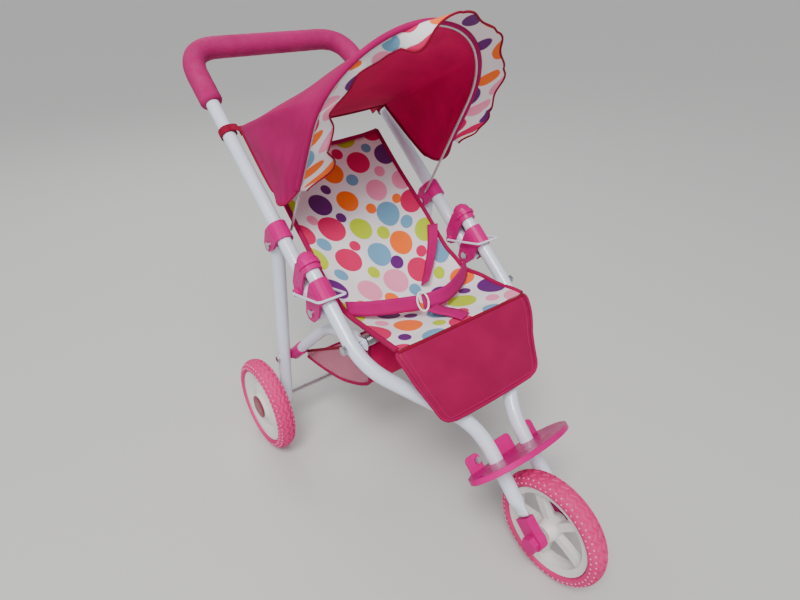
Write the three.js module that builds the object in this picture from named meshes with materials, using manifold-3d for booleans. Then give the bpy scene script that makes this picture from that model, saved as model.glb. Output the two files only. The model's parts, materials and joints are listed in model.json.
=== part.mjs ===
// Three-wheeled folding doll stroller.
// Millimetres, +Z up, +Y towards the pusher, -X is the pusher's right-hand side.
// The side profile is laid out from the point on the floor under the front axle.
import * as THREE from 'three';
import { mergeVertices } from 'three/addons/utils/BufferGeometryUtils.js';
import Module from 'manifold-3d';

const wasm = await Module();
wasm.setup();

// Driving dimensions
const tubeRadius = 9.5;
const tubeWall = 1.3;
const tubeSides = 12;
const frameHalfWidth = 132;
const tubePitch = 30;
const lean = THREE.MathUtils.degToRad(40.6);
const foldPivot = { y: 292, z: 301 };
const handleLength = 427.7;
const handleCorner = 50;
const handleStart = -10;
const gripStart = 330;
const gripRadius = 15.5;
const frontTubeTop = 50;
const kneeAlong = -93;
const forkHalfWidth = 28;
const forkTopY = 108;
const forkTopZ = 180;
const wheelRadius = 75;
const tyreHalfWidth = 14;
const tyreFacets = 40;
const rearAxleY = 434;
const rearTrack = 167;
const legPivotAlong = 114;
const legPivotAbove = -22;
const linkPivotAlong = -66;
const linkCentre = 112;
const linkRadius = 7.5;
const legPinZ = 157;
const hoopAlong = 117;
const hoopAbove = 5;
const hoopHalfWidth = 116;
const hoopStraight = 160;
const hoopLean = THREE.MathUtils.degToRad(120);
const hoopWire = 1.8;
const bailReach = 67.5;
const bailAngle = THREE.MathUtils.degToRad(126.5);
const bailHalfWidth = 19.5;
const bailWire = 1.6;
const plateInner = 10.2;
const plateOuter = 13.2;
const gap = 0.3;
const lengthMiddle = 278.6;

const axleHeight = wheelRadius * Math.cos(Math.PI / tyreFacets);
const sides = [['right', -1], ['left', 1]];

const finishes = {
  whitePaint: { color: 0xe4e7f0, roughness: 0.25, metalness: 0.3 },
  pinkPlastic: { color: 0xd80f74, roughness: 0.3, metalness: 0 },
  pinkFoam: { color: 0xd93a86, roughness: 0.85, metalness: 0 },
  tyreFoam: { color: 0xe8447a, roughness: 0.75, metalness: 0 },
  whitePlastic: { color: 0xe9e8e2, roughness: 0.35, metalness: 0 },
  crimsonPlastic: { color: 0xb3103f, roughness: 0.4, metalness: 0 },
  steel: { color: 0xb9bcc2, roughness: 0.3, metalness: 0.9 },
  pinkCloth: { color: 0xcc1a66, roughness: 0.9, metalness: 0 },
  dottedCloth: { color: 0xe9dde2, roughness: 0.9, metalness: 0 },
  meshCloth: { color: 0xd4527c, roughness: 0.9, metalness: 0 },
  webbing: { color: 0xc4127c, roughness: 0.8, metalness: 0 },
};

const stroller = new THREE.Group();
stroller.position.set(0, -lengthMiddle, 0);

function addPart(name, finish, geometry) {
  const mesh = new THREE.Mesh(geometry, new THREE.MeshStandardMaterial(finishes[finish]));
  mesh.name = name;
  stroller.add(mesh);
}

// A point of the side profile: distance along the handle tube from the fold pivot,
// and distance above the tube's axis.
function onSide(along, above) {
  return {
    y: foldPivot.y + along * Math.cos(lean) - above * Math.sin(lean),
    z: foldPivot.z + along * Math.sin(lean) + above * Math.cos(lean),
  };
}

function sidePoint(x, along, above) {
  const point = onSide(along, above);
  return new THREE.Vector3(x, point.y, point.z);
}

function vec(x, y, z) {
  return new THREE.Vector3(x, y, z);
}

// Joining and cutting closed geometries

function toSolid(geometry) {
  const bare = geometry.clone();
  bare.deleteAttribute('normal');
  bare.deleteAttribute('uv');
  const merged = mergeVertices(bare, 1e-4);
  return new wasm.Manifold(new wasm.Mesh({
    numProp: 3,
    vertProperties: new Float32Array(merged.attributes.position.array),
    triVerts: new Uint32Array(merged.index.array),
  }));
}

function toGeometry(solid) {
  const mesh = solid.getMesh();
  const geometry = new THREE.BufferGeometry();
  geometry.setAttribute('position', new THREE.BufferAttribute(mesh.vertProperties, 3));
  geometry.setIndex(new THREE.BufferAttribute(mesh.triVerts, 1));
  return geometry;
}

function join(...geometries) {
  const whole = geometries.map(toSolid).reduce((sum, next) => sum.add(next));
  return toGeometry(whole);
}

function cut(geometry, ...tools) {
  const rest = tools.map(toSolid).reduce((sum, tool) => sum.subtract(tool), toSolid(geometry));
  return toGeometry(rest);
}

// A route whose stations are given one by one, for sweeping a section along it
class StationRoute extends THREE.Curve {
  constructor(stations) {
    super();
    this.stations = stations;
  }

  getPoint(t) {
    return this.stations[Math.round(t * (this.stations.length - 1))].clone();
  }

  getPointAt(u) {
    return this.getPoint(u);
  }

  getTangentAt(u) {
    const last = this.stations.length - 1;
    const index = Math.round(u * last);
    const before = this.stations[Math.max(index - 1, 0)];
    const here = this.stations[index];
    const after = this.stations[Math.min(index + 1, last)];
    const incoming = here.clone().sub(before).normalize();
    const outgoing = after.clone().sub(here).normalize();
    return incoming.add(outgoing).normalize();
  }

  getSpacedPoints() {
    return this.stations.map((station) => station.clone());
  }
}

// Straight runs joined by round corners
function roundedRoute(points, cornerLength, cornerSteps) {
  const stations = [points[0].clone()];
  for (let i = 1; i < points.length - 1; i += 1) {
    const corner = points[i];
    const back = points[i - 1].clone().sub(corner);
    const ahead = points[i + 1].clone().sub(corner);
    const reach = Math.min(cornerLength, back.length() * 0.49, ahead.length() * 0.49);
    const bend = new THREE.QuadraticBezierCurve3(
      corner.clone().add(back.setLength(reach)),
      corner,
      corner.clone().add(ahead.setLength(reach)),
    );
    stations.push(...bend.getPoints(cornerSteps));
  }
  stations.push(points[points.length - 1].clone());
  return stations;
}

function disc(radius, count) {
  const shape = new THREE.Shape();
  for (let i = 0; i < count; i += 1) {
    const angle = (i * 2 * Math.PI) / count;
    const x = radius * Math.cos(angle);
    const y = radius * Math.sin(angle);
    if (i === 0) {
      shape.moveTo(x, y);
    } else {
      shape.lineTo(x, y);
    }
  }
  shape.closePath();
  return shape;
}

function sweep(section, stations) {
  return new THREE.ExtrudeGeometry(section, {
    steps: stations.length - 1,
    extrudePath: new StationRoute(stations),
    curveSegments: 1,
  });
}

function pipe(stations, outer, inner, count = tubeSides) {
  const section = disc(outer, count);
  if (inner > 0) {
    section.holes.push(disc(inner, count));
  }
  return sweep(section, stations);
}

// A cylinder along X between two places
function bar(from, to, radius, y, z, count = 12) {
  const geometry = new THREE.CylinderGeometry(radius, radius, Math.abs(to - from), count);
  geometry.rotateZ(Math.PI / 2);
  geometry.translate((from + to) / 2, y, z);
  return geometry;
}

// A cylinder standing along the handle tube's direction
function sleeve(x, alongFrom, alongTo, above, radius, count = 16) {
  const geometry = new THREE.CylinderGeometry(radius, radius, alongTo - alongFrom, count);
  geometry.rotateX(lean);
  const middle = onSide((alongFrom + alongTo) / 2, above);
  geometry.translate(x, middle.y, middle.z);
  return geometry;
}

// A flat plate across X, its outline given as [along, above] on the side profile
function sidePlate(outline, from, to) {
  const shape = new THREE.Shape(outline.map(([along, above]) => {
    const point = onSide(along, above);
    return new THREE.Vector2(point.y, point.z);
  }));
  return plateAcross(shape, from, to);
}

// Turns a shape drawn in (y, z) into a slab between two places along X
function plateAcross(shape, from, to) {
  const low = Math.min(from, to);
  const geometry = new THREE.ExtrudeGeometry(shape, {
    depth: Math.abs(to - from),
    bevelEnabled: false,
    curveSegments: 6,
  });
  geometry.rotateX(Math.PI / 2);
  geometry.rotateZ(Math.PI / 2);
  geometry.translate(low, 0, 0);
  return geometry;
}

function box(width, depth, height, x, y, z) {
  const geometry = new THREE.BoxGeometry(width, depth, height);
  geometry.translate(x, y, z);
  return geometry;
}

// A sheet of even thickness over a grid of points
function sheet(pointAt, thickness, across, down) {
  const positions = [];
  const index = [];
  const row = across + 1;
  const layer = row * (down + 1);
  for (const offset of [thickness / 2, -thickness / 2]) {
    for (let j = 0; j <= down; j += 1) {
      for (let i = 0; i <= across; i += 1) {
        const u = i / across;
        const v = j / down;
        const step = 0.01;
        const here = pointAt(u, v);
        const alongU = pointAt(u < 0.5 ? u + step : u, v).sub(pointAt(u < 0.5 ? u : u - step, v));
        const alongV = pointAt(u, v < 0.5 ? v + step : v).sub(pointAt(u, v < 0.5 ? v : v - step));
        const normal = alongU.cross(alongV).normalize();
        here.addScaledVector(normal, offset);
        positions.push(here.x, here.y, here.z);
      }
    }
  }
  for (let j = 0; j < down; j += 1) {
    for (let i = 0; i < across; i += 1) {
      const a = j * row + i;
      const b = a + 1;
      const c = a + row;
      const d = c + 1;
      index.push(a, b, d, a, d, c);
      index.push(layer + a, layer + d, layer + b, layer + a, layer + c, layer + d);
    }
  }
  const rim = [];
  for (let i = 0; i < across; i += 1) {
    rim.push([i, i + 1]);
    rim.push([down * row + i + 1, down * row + i]);
  }
  for (let j = 0; j < down; j += 1) {
    rim.push([(j + 1) * row, j * row]);
    rim.push([j * row + across, (j + 1) * row + across]);
  }
  for (const [a, b] of rim) {
    index.push(b, a, layer + a, b, layer + a, layer + b);
  }
  const geometry = new THREE.BufferGeometry();
  geometry.setAttribute('position', new THREE.Float32BufferAttribute(positions, 3));
  geometry.setIndex(index);
  return geometry;
}

// Squeezes a tube's end flat in X over a short length
function crimp(geometry, end, towards, length, halfThickness, xAtEnd) {
  const direction = towards.clone().sub(end).normalize();
  const place = geometry.attributes.position;
  const point = new THREE.Vector3();
  for (let i = 0; i < place.count; i += 1) {
    point.fromBufferAttribute(place, i);
    const distance = point.clone().sub(end).dot(direction);
    if (distance < length) {
      const amount = THREE.MathUtils.smoothstep(length - distance, 0, length * 0.6);
      const centre = end.x + direction.x * distance;
      const squeezed = (point.x - centre) * THREE.MathUtils.lerp(1, halfThickness / tubeRadius, amount);
      point.x = centre + squeezed + (xAtEnd - end.x) * amount;
      place.setX(i, point.x);
    }
  }
  return geometry;
}

const frontAxle = { y: 0, z: axleHeight };
const rearAxle = { y: rearAxleY, z: axleHeight };
const legPivot = onSide(legPivotAlong, legPivotAbove);
const linkPivot = onSide(linkPivotAlong, tubePitch);
const hoopPivot = onSide(hoopAlong, hoopAbove);
const forkTop = vec(0, forkTopY, forkTopZ);
const forkFoot = vec(0, frontAxle.y, frontAxle.z);
const forkRun = forkTop.clone().sub(forkFoot).normalize();
const legShare = (legPivot.z - legPinZ) / (legPivot.z - rearAxle.z);
const legPin = { y: legPivot.y + (rearAxle.y - legPivot.y) * legShare, z: legPinZ };

// Front frame: two tubes from the latch caps down to the fork

function onFork(x, distance, forward = 0) {
  return vec(
    x,
    forkFoot.y + forkRun.y * distance - forkRun.z * forward,
    forkFoot.z + forkRun.z * distance + forkRun.y * forward,
  );
}

function frontTubeRoute(sign) {
  const end = onFork(sign * (forkHalfWidth + 1), 31);
  return roundedRoute([
    sidePoint(sign * frameHalfWidth, frontTubeTop, tubePitch),
    sidePoint(sign * frameHalfWidth, kneeAlong, tubePitch),
    vec(sign * forkHalfWidth, forkTopY, forkTopZ),
    onFork(sign * forkHalfWidth, 70),
    onFork(sign * forkHalfWidth, 52),
    onFork(sign * forkHalfWidth, 42),
    end,
  ], 32, 3);
}

function makeFrontTube(sign) {
  const route = frontTubeRoute(sign);
  const end = route[route.length - 1];
  const tube = pipe(route, tubeRadius, tubeRadius - tubeWall);
  crimp(tube, end, route[route.length - 2], 26, 4, end.x);
  const x = sign * frameHalfWidth;
  return cut(tube, bar(x - 14, x + 14, 3 + gap, linkPivot.y, linkPivot.z));
}

function makeForkEnd(sign) {
  const x = sign * (forkHalfWidth + 1);
  const arm = new THREE.BoxGeometry(12, 40, 21);
  const place = onFork(x, 12);
  arm.rotateX(Math.atan2(forkRun.z, forkRun.y));
  arm.translate(place.x, place.y, place.z);
  const nose = bar(x - 6, x + 6, 12.5, frontAxle.y, frontAxle.z, 16);
  const bracket = join(arm, nose);
  const tubeEnd = pipe([onFork(x, 29.4), onFork(x, 60)], tubeRadius + 3, 0);
  const bore = bar(x - 10, x + 10, 4 + gap, frontAxle.y, frontAxle.z);
  return cut(bracket, tubeEnd, bore);
}

function makeLatchCap(sign) {
  const x = sign * frameHalfWidth;
  const crown = sleeve(x, 40, frontTubeTop + 6, tubePitch, plateOuter);
  const dome = new THREE.SphereGeometry(plateOuter + 0.3, 12, 8);
  const top = onSide(frontTubeTop + 5, tubePitch);
  dome.translate(x, top.y, top.z);
  const lip = sleeve(x, 47, 52, tubePitch + 1, plateOuter + 1.6);
  const outline = [[40, 34], [57, 36], [60, 24], [50, -6], [41, -13], [30, -14], [26, -6], [34, 14]];
  const cheeks = [-1, 1].map((hand) => sidePlate(outline, x + hand * plateInner, x + hand * plateOuter));
  const hinge = onSide(35, -8);
  const ears = [-1, 1].map((hand) => (
    bar(x + hand * (plateOuter - 0.5), x + hand * 17.4, 5, hinge.y, hinge.z)
  ));
  const tubeRoom = sleeve(x, 30, frontTubeTop + gap, tubePitch, tubeRadius + 0.5);
  const handleRoom = sleeve(x, 0, 90, 0, tubeRadius + 0.6);
  const wireRoom = bar(x - 30, x + 30, bailWire + 0.7, hinge.y, hinge.z);
  const core = bar(x - 14.2, x + 14.2, bailWire + 2, hinge.y, hinge.z);
  const cap = cut(join(crown, dome, lip, ...cheeks, ...ears), tubeRoom, handleRoom);
  return cut(cap, cut(wireRoom, core));
}

function makeFoldBracket(sign) {
  const x = sign * frameHalfWidth;
  const collar = sleeve(x, -5, 26, tubePitch, plateOuter - 0.2);
  const outline = [[26, 30], [-5, 30], [-13, 12], [-11, -6], [-3, -14], [7, -13], [16, 2]];
  const cheeks = [-1, 1].map((hand) => sidePlate(outline, x + hand * plateInner, x + hand * plateOuter));
  const tubeRoom = sleeve(x, -20, 40, tubePitch, tubeRadius + 0.5);
  const handleRoom = sleeve(x, -20, 50, 0, tubeRadius + 0.6);
  const rivetRoom = bar(x - 20, x + 20, 3 + gap, foldPivot.y, foldPivot.z);
  return cut(join(collar, ...cheeks), tubeRoom, handleRoom, rivetRoom);
}

// A rivet along X with a domed head at each end
function makeRivet(x, y, z, halfGrip, shaftRadius = 3, headRadius = 5.4) {
  const shaft = bar(x - halfGrip - 0.8, x + halfGrip + 0.8, shaftRadius, y, z);
  const heads = [-1, 1].map((hand) => (
    bar(x + hand * (halfGrip + gap), x + hand * (halfGrip + 2), headRadius, y, z)
  ));
  return join(shaft, ...heads);
}

// Wing outline of the foot plate, shrunk evenly by an inset
function wingOutline(inset) {
  const points = [[-60 + inset, -16 + inset], [60 - inset, -16 + inset]];
  const steps = 8;
  for (let i = 0; i <= steps; i += 1) {
    const angle = (-0.12 + (1.24 * i) / steps) * Math.PI;
    points.push([(77 - inset) * Math.cos(angle), 14 + (46 - inset) * Math.sin(angle)]);
  }
  return new THREE.Shape(points.map(([x, y]) => new THREE.Vector2(x, y)));
}

function wingSlab(inset, from, to) {
  const slab = new THREE.ExtrudeGeometry(wingOutline(inset), { depth: to - from, bevelEnabled: false });
  slab.translate(0, 0, from);
  return slab;
}

function makeFootPlate() {
  const wall = box(120, 4, 24, 0, -14, 12);
  const rearRoom = box(200, 40, 30, 0, -10, -15);
  const lip = cut(wingSlab(0, -8, 3), wingSlab(3, -10, 5), rearRoom);
  const bolts = [-1, 1].map((hand) => {
    const hole = new THREE.CylinderGeometry(2.8, 2.8, 12, 10);
    hole.translate(hand * 45, -14, 15);
    return hole;
  });
  const plate = cut(join(wingSlab(0, 0, 4), wall, lip), ...bolts);
  plate.applyMatrix4(footPlateFrame());
  const rooms = [-1, 1].map((hand) => (
    pipe([onFork(hand * forkHalfWidth, 60), onFork(hand * forkHalfWidth, 150)], tubeRadius + 0.6, 0)
  ));
  const notches = [-1, 1].map((hand) => {
    const slot = box(2 * tubeRadius + 1.2, 12, 40, hand * forkHalfWidth, -12, 24);
    slot.applyMatrix4(footPlateFrame());
    return slot;
  });
  return cut(plate, ...rooms, ...notches);
}

// The foot plate's own frame: X to the pusher's right, Y forwards and up, Z up along the fork
function footPlateFrame() {
  const origin = onFork(0, 98);
  const forward = onFork(0, 98, 1).sub(origin);
  const frame = new THREE.Matrix4().makeBasis(vec(-1, 0, 0), forward, vec(0, forkRun.y, forkRun.z));
  return frame.premultiply(new THREE.Matrix4().makeTranslation(origin.x, origin.y, origin.z));
}

function makeFootPlateBolt(sign) {
  const shaft = new THREE.CylinderGeometry(2.4, 2.4, 10, 10);
  shaft.translate(-sign * 45, -14, 15);
  const head = new THREE.CylinderGeometry(4.6, 4.6, 3, 6);
  head.translate(-sign * 45, -14 + 2 + gap + 1.5, 15);
  const nut = new THREE.CylinderGeometry(4.6, 4.6, 2.6, 6);
  nut.translate(-sign * 45, -14 - 2 - gap - 1.3, 15);
  const bolt = join(shaft, head, nut);
  bolt.applyMatrix4(footPlateFrame());
  return bolt;
}

function makeLinkBolt(sign) {
  const x = sign * frameHalfWidth;
  const shaft = bar(x + sign * 11, x - sign * 36, 3, linkPivot.y, linkPivot.z);
  const head = bar(x + sign * (tubeRadius + gap), x + sign * 14, 6, linkPivot.y, linkPivot.z, 6);
  const nut = bar(x - sign * 32, x - sign * 37, 6, linkPivot.y, linkPivot.z, 6);
  return join(shaft, head, nut);
}

function makeSpring(sign) {
  const x = sign * frameHalfWidth;
  const coil = bar(x - sign * 19, x - sign * 31.6, 7, linkPivot.y, linkPivot.z, 12);
  return cut(coil, bar(x - sign * 10, x - sign * 40, 4, linkPivot.y, linkPivot.z, 12));
}

// A bar across under the seat's front edge, its ends on the link bolts
function makeSeatBar() {
  const reach = frameHalfWidth - 42;
  const frontY = 170;
  const frontZ = 284;
  const wire = pipe(roundedRoute([
    vec(-reach, linkPivot.y + 5, linkPivot.z - 1),
    vec(-reach, frontY, frontZ),
    vec(reach, frontY, frontZ),
    vec(reach, linkPivot.y + 5, linkPivot.z - 1),
  ], 14, 4), 4, 0, 8);
  return wire;
}

function makeFrontRim() {
  const ring = turned([[59, -11], [59, 11], [50.5, 9], [49.5, 0], [50.5, -9]], 40, 0);
  const hub = turned([[0, -17], [11, -17], [14, -8], [14, 8], [11, 17], [0, 17]], 20, 0);
  const spokes = [];
  const count = 5;
  for (let i = 0; i < count; i += 1) {
    const blade = new THREE.Shape();
    blade.moveTo(9, -5);
    blade.quadraticCurveTo(30, -13, 50.5, -14);
    blade.lineTo(52, -3);
    blade.quadraticCurveTo(30, -2, 10, 5);
    blade.closePath();
    const spoke = new THREE.ExtrudeGeometry(blade, { depth: 9, bevelEnabled: false, curveSegments: 5 });
    spoke.translate(0, 0, -4.5);
    spoke.rotateY(Math.PI / 2);
    spoke.rotateX((i * 2 * Math.PI) / count + 0.3);
    spokes.push(spoke);
  }
  const wheel = cut(join(ring, hub, ...spokes), bar(-30, 30, 4.4, 0, 0, 20));
  wheel.translate(0, frontAxle.y, frontAxle.z);
  return wheel;
}

// A closed profile of [radius, x] turned about the X axis
function turned(profile, count, startAngle) {
  const points = profile.map(([radius, x]) => new THREE.Vector2(radius, x));
  if (points[0].x > 0) {
    points.push(points[0].clone());
  }
  const geometry = new THREE.LatheGeometry(points, count, startAngle);
  geometry.rotateZ(-Math.PI / 2);
  return geometry;
}

function makeTyre(x, y) {
  const profile = [
    [59.3, -10], [63, -13], [67.5, -tyreHalfWidth], [72, -11.6], [wheelRadius, -5.5],
    [wheelRadius, 5.5], [72, 11.6], [67.5, tyreHalfWidth], [63, 13], [59.3, 10],
  ];
  const tyre = turned(profile, tyreFacets, 0);
  tyre.rotateX(Math.PI / 2 - Math.PI / tyreFacets);
  tyre.translate(x, y, axleHeight);
  return tyre;
}

function makeRearRim(sign) {
  const profile = [
    [4.2, -15], [12, -15], [14, 1], [38, -1.5], [50, 0.5], [52, -9], [59, -11],
    [59, 11], [50, 9], [38, 4.5], [23, 9], [19, 13.5], [4.2, 13.5],
  ];
  const rim = turned(profile, 32, 0);
  if (sign < 0) {
    rim.rotateY(Math.PI);
  }
  rim.translate(sign * rearTrack, rearAxle.y, rearAxle.z);
  return rim;
}

function makeHubCap(sign) {
  const start = rearTrack + 13.5 + gap;
  return bar(sign * start, sign * (start + 2.6), 19, rearAxle.y, rearAxle.z, 24);
}

// Handle frame

function handleRoute() {
  return roundedRoute([
    sidePoint(-frameHalfWidth, handleStart, 0),
    sidePoint(-frameHalfWidth, handleLength, 0),
    sidePoint(frameHalfWidth, handleLength, 0),
    sidePoint(frameHalfWidth, handleStart, 0),
  ], handleCorner, 6);
}

function makeHandleTube() {
  const tube = pipe(handleRoute(), tubeRadius, tubeRadius - tubeWall);
  const holes = sides.flatMap(([, sign]) => {
    const x = sign * frameHalfWidth;
    return [bar(x - 14, x + 14, 3 + gap, foldPivot.y, foldPivot.z)];
  });
  return cut(tube, ...holes);
}

function makeGrip() {
  const route = handleRoute();
  route[0] = sidePoint(-frameHalfWidth, gripStart, 0);
  route[route.length - 1] = sidePoint(frameHalfWidth, gripStart, 0);
  return pipe(route, gripRadius, tubeRadius + 0.7);
}

function makeLegBracket(sign) {
  const x = sign * frameHalfWidth;
  const collar = sleeve(x, 104, 129, 0, plateOuter);
  const outline = [[104, 2], [129, 2], [131, -10], [124, -30], [116, -35], [108, -30], [103, -14]];
  const cheeks = [-1, 1].map((hand) => sidePlate(outline, x + hand * plateInner, x + hand * plateOuter));
  const tubeRoom = sleeve(x, 90, 140, 0, tubeRadius + 0.5);
  const rivetRoom = bar(x - 20, x + 20, 3 + gap, legPivot.y, legPivot.z);
  const legRoom = bar(x - plateInner + 0.1, x + plateInner - 0.1, 11.1, legPivot.y, legPivot.z, 20);
  return cut(join(collar, ...cheeks), tubeRoom, rivetRoom, legRoom);
}

function makeHoop() {
  const stations = [];
  const legX = hoopHalfWidth;
  const at = (x, height) => vec(
    x,
    hoopPivot.y + height * Math.cos(hoopLean),
    hoopPivot.z + height * Math.sin(hoopLean),
  );
  stations.push(at(-legX, -4));
  for (let i = 0; i <= 14; i += 1) {
    const angle = Math.PI - (i * Math.PI) / 14;
    stations.push(at(legX * Math.cos(angle), hoopStraight + legX * Math.sin(angle)));
  }
  stations.push(at(legX, -4));
  return pipe(stations, hoopWire, 0, 6);
}

// The canopy runs from the hoop's arch back to the handle tubes
function canopyFront(v) {
  const low = 46;
  const arch = Math.PI * (hoopHalfWidth + 5);
  const leg = hoopStraight - low;
  const run = v * (arch + 2 * leg);
  const reach = hoopHalfWidth + 5;
  let x;
  let height;
  if (run < leg) {
    x = -reach;
    height = low + run;
  } else if (run > leg + arch) {
    x = reach;
    height = low + (arch + 2 * leg - run);
  } else {
    const angle = Math.PI - (run - leg) / reach;
    x = reach * Math.cos(angle);
    height = hoopStraight + reach * Math.sin(angle);
  }
  return vec(
    x,
    hoopPivot.y + height * Math.cos(hoopLean),
    hoopPivot.z + height * Math.sin(hoopLean),
  );
}

function canopyRear(v) {
  const side = Math.min(v, 1 - v) / 0.25;
  const reach = hoopHalfWidth + 6;
  if (side < 1) {
    const x = v < 0.5 ? -reach : reach;
    return sidePoint(x, THREE.MathUtils.lerp(158, 278, side), 22);
  }
  const x = THREE.MathUtils.lerp(-reach, reach, (v - 0.25) / 0.5);
  const rise = 26 * Math.sin((Math.PI * (v - 0.25)) / 0.5);
  return sidePoint(x, 278 + rise * 0.4, 22 + rise);
}

function makeCanopy() {
  return sheet((u, v) => {
    const crown = 16 * Math.sin(Math.PI * u) * Math.sin(Math.PI * v);
    const point = canopyFront(v).lerp(canopyRear(v), u);
    point.z += crown;
    return point;
  }, 2.4, 4, 20);
}

function makeSeatBack() {
  return sheet((u, v) => {
    const along = THREE.MathUtils.lerp(14, 245, v);
    const x = THREE.MathUtils.lerp(-102, 102, u);
    const sag = 10 * Math.sin(Math.PI * u) * Math.sin(Math.PI * v);
    return sidePoint(x, along, -10 - sag);
  }, 3, 6, 6);
}

function makeSeatBase() {
  return sheet((u, v) => {
    const x = THREE.MathUtils.lerp(-106, 106, u);
    const y = THREE.MathUtils.lerp(168, 258, v);
    const sag = 16 * Math.sin(Math.PI * u) * v;
    return vec(x, y, THREE.MathUtils.lerp(293, 292, v) - sag);
  }, 3, 4, 4);
}

function makeCalfPanel() {
  return sheet((u, v) => {
    const half = THREE.MathUtils.lerp(66, 112, v);
    return vec(
      THREE.MathUtils.lerp(half, -half, u),
      THREE.MathUtils.lerp(98, 159, v),
      THREE.MathUtils.lerp(208, 291, v),
    );
  }, 3, 2, 3);
}

function makeBasket() {
  const half = 100;
  const skin = 2.5;
  const outer = new THREE.Shape([
    [411, 158], [406, 146], [300, 164], [214, 194], [203, 206], [203, 256], [208, 262],
  ].map(([y, z]) => new THREE.Vector2(y, z)));
  const inner = new THREE.Shape([
    [450, 170], [403, 150], [300, 168], [216, 198], [206.5, 208], [206.5, 300], [330, 420],
  ].map(([y, z]) => new THREE.Vector2(y, z)));
  return cut(plateAcross(outer, -half, half), plateAcross(inner, -half + skin, half - skin));
}

// Flat webbing laid along a route
function strap(stations, width, thickness, upright) {
  return sheet((u, v) => {
    const place = v * (stations.length - 1);
    const index = Math.min(Math.floor(place), stations.length - 2);
    const point = stations[index].clone().lerp(stations[index + 1], place - index);
    return point.addScaledVector(upright, (u - 0.5) * width);
  }, thickness, 1, stations.length - 1);
}

// Rear legs, links and bails

function makeLeg(sign) {
  const x = sign * frameHalfWidth;
  const down = vec(0, rearAxle.y - legPivot.y, rearAxle.z - legPivot.z).normalize();
  const top = vec(x, legPivot.y, legPivot.z).addScaledVector(down, -5.2);
  const foot = vec(x, rearAxle.y, rearAxle.z).addScaledVector(down, 14);
  const tube = pipe([top, foot], tubeRadius, tubeRadius - tubeWall);
  return cut(
    tube,
    bar(x - 14, x + 14, 3 + gap, legPivot.y, legPivot.z),
    bar(x - 14, x + 14, 3.5 + gap, rearAxle.y, rearAxle.z),
  );
}

function makeLink(sign) {
  const x = sign * linkCentre;
  const route = roundedRoute([
    vec(x, legPin.y - 12, legPin.z + 10),
    vec(x, 314, 256),
    vec(x, linkPivot.y + 34, linkPivot.z - 8),
    vec(x, linkPivot.y + 22, linkPivot.z - 5),
    vec(x, linkPivot.y + 14, linkPivot.z - 3),
    vec(x, linkPivot.y - 9, linkPivot.z + 2),
  ], 26, 3);
  const tube = pipe(route, linkRadius, 0);
  const end = route[route.length - 1];
  const flatX = sign * (frameHalfWidth - 14.5);
  crimp(tube, end, route[route.length - 2], 34, 2.2 * (tubeRadius / linkRadius), flatX);
  return cut(tube, bar(x - 20, x + 20, 3 + gap, linkPivot.y, linkPivot.z));
}

function makeLinkClip(sign) {
  const x = sign * linkCentre;
  const outward = vec(0, legPin.y - 314, legPin.z - 256).normalize();
  const start = vec(x, legPin.y - 12, legPin.z + 10);
  const cup = pipe([
    start.clone().addScaledVector(outward, -17),
    start.clone().addScaledVector(outward, 20),
  ], linkRadius + 2.4, 0);
  const room = pipe([
    start.clone().addScaledVector(outward, -30),
    start.clone().addScaledVector(outward, gap),
  ], linkRadius + gap, 0);
  const ear = bar(x, sign * (frameHalfWidth - tubeRadius - 0.5), 7.5, legPin.y, legPin.z, 14);
  return cut(join(cup, ear), room);
}

function makeLegScrew(sign) {
  const x = sign * (frameHalfWidth + tubeRadius);
  return bar(x + sign * gap, x + sign * 3.6, 5, legPin.y, legPin.z, 6);
}

function makeBail(sign) {
  const x = sign * frameHalfWidth;
  const hinge = onSide(35, -8);
  const direction = lean + bailAngle;
  const barY = hinge.y + bailReach * Math.cos(direction);
  const barZ = hinge.z + bailReach * Math.sin(direction);
  const route = roundedRoute([
    vec(x - 14.6, hinge.y, hinge.z),
    vec(x - bailHalfWidth, hinge.y, hinge.z),
    vec(x - bailHalfWidth, barY, barZ),
    vec(x + bailHalfWidth, barY, barZ),
    vec(x + bailHalfWidth, hinge.y, hinge.z),
    vec(x + 14.6, hinge.y, hinge.z),
  ], 5, 3);
  return pipe(route, bailWire, 0, 8);
}

// Assembly

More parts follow.
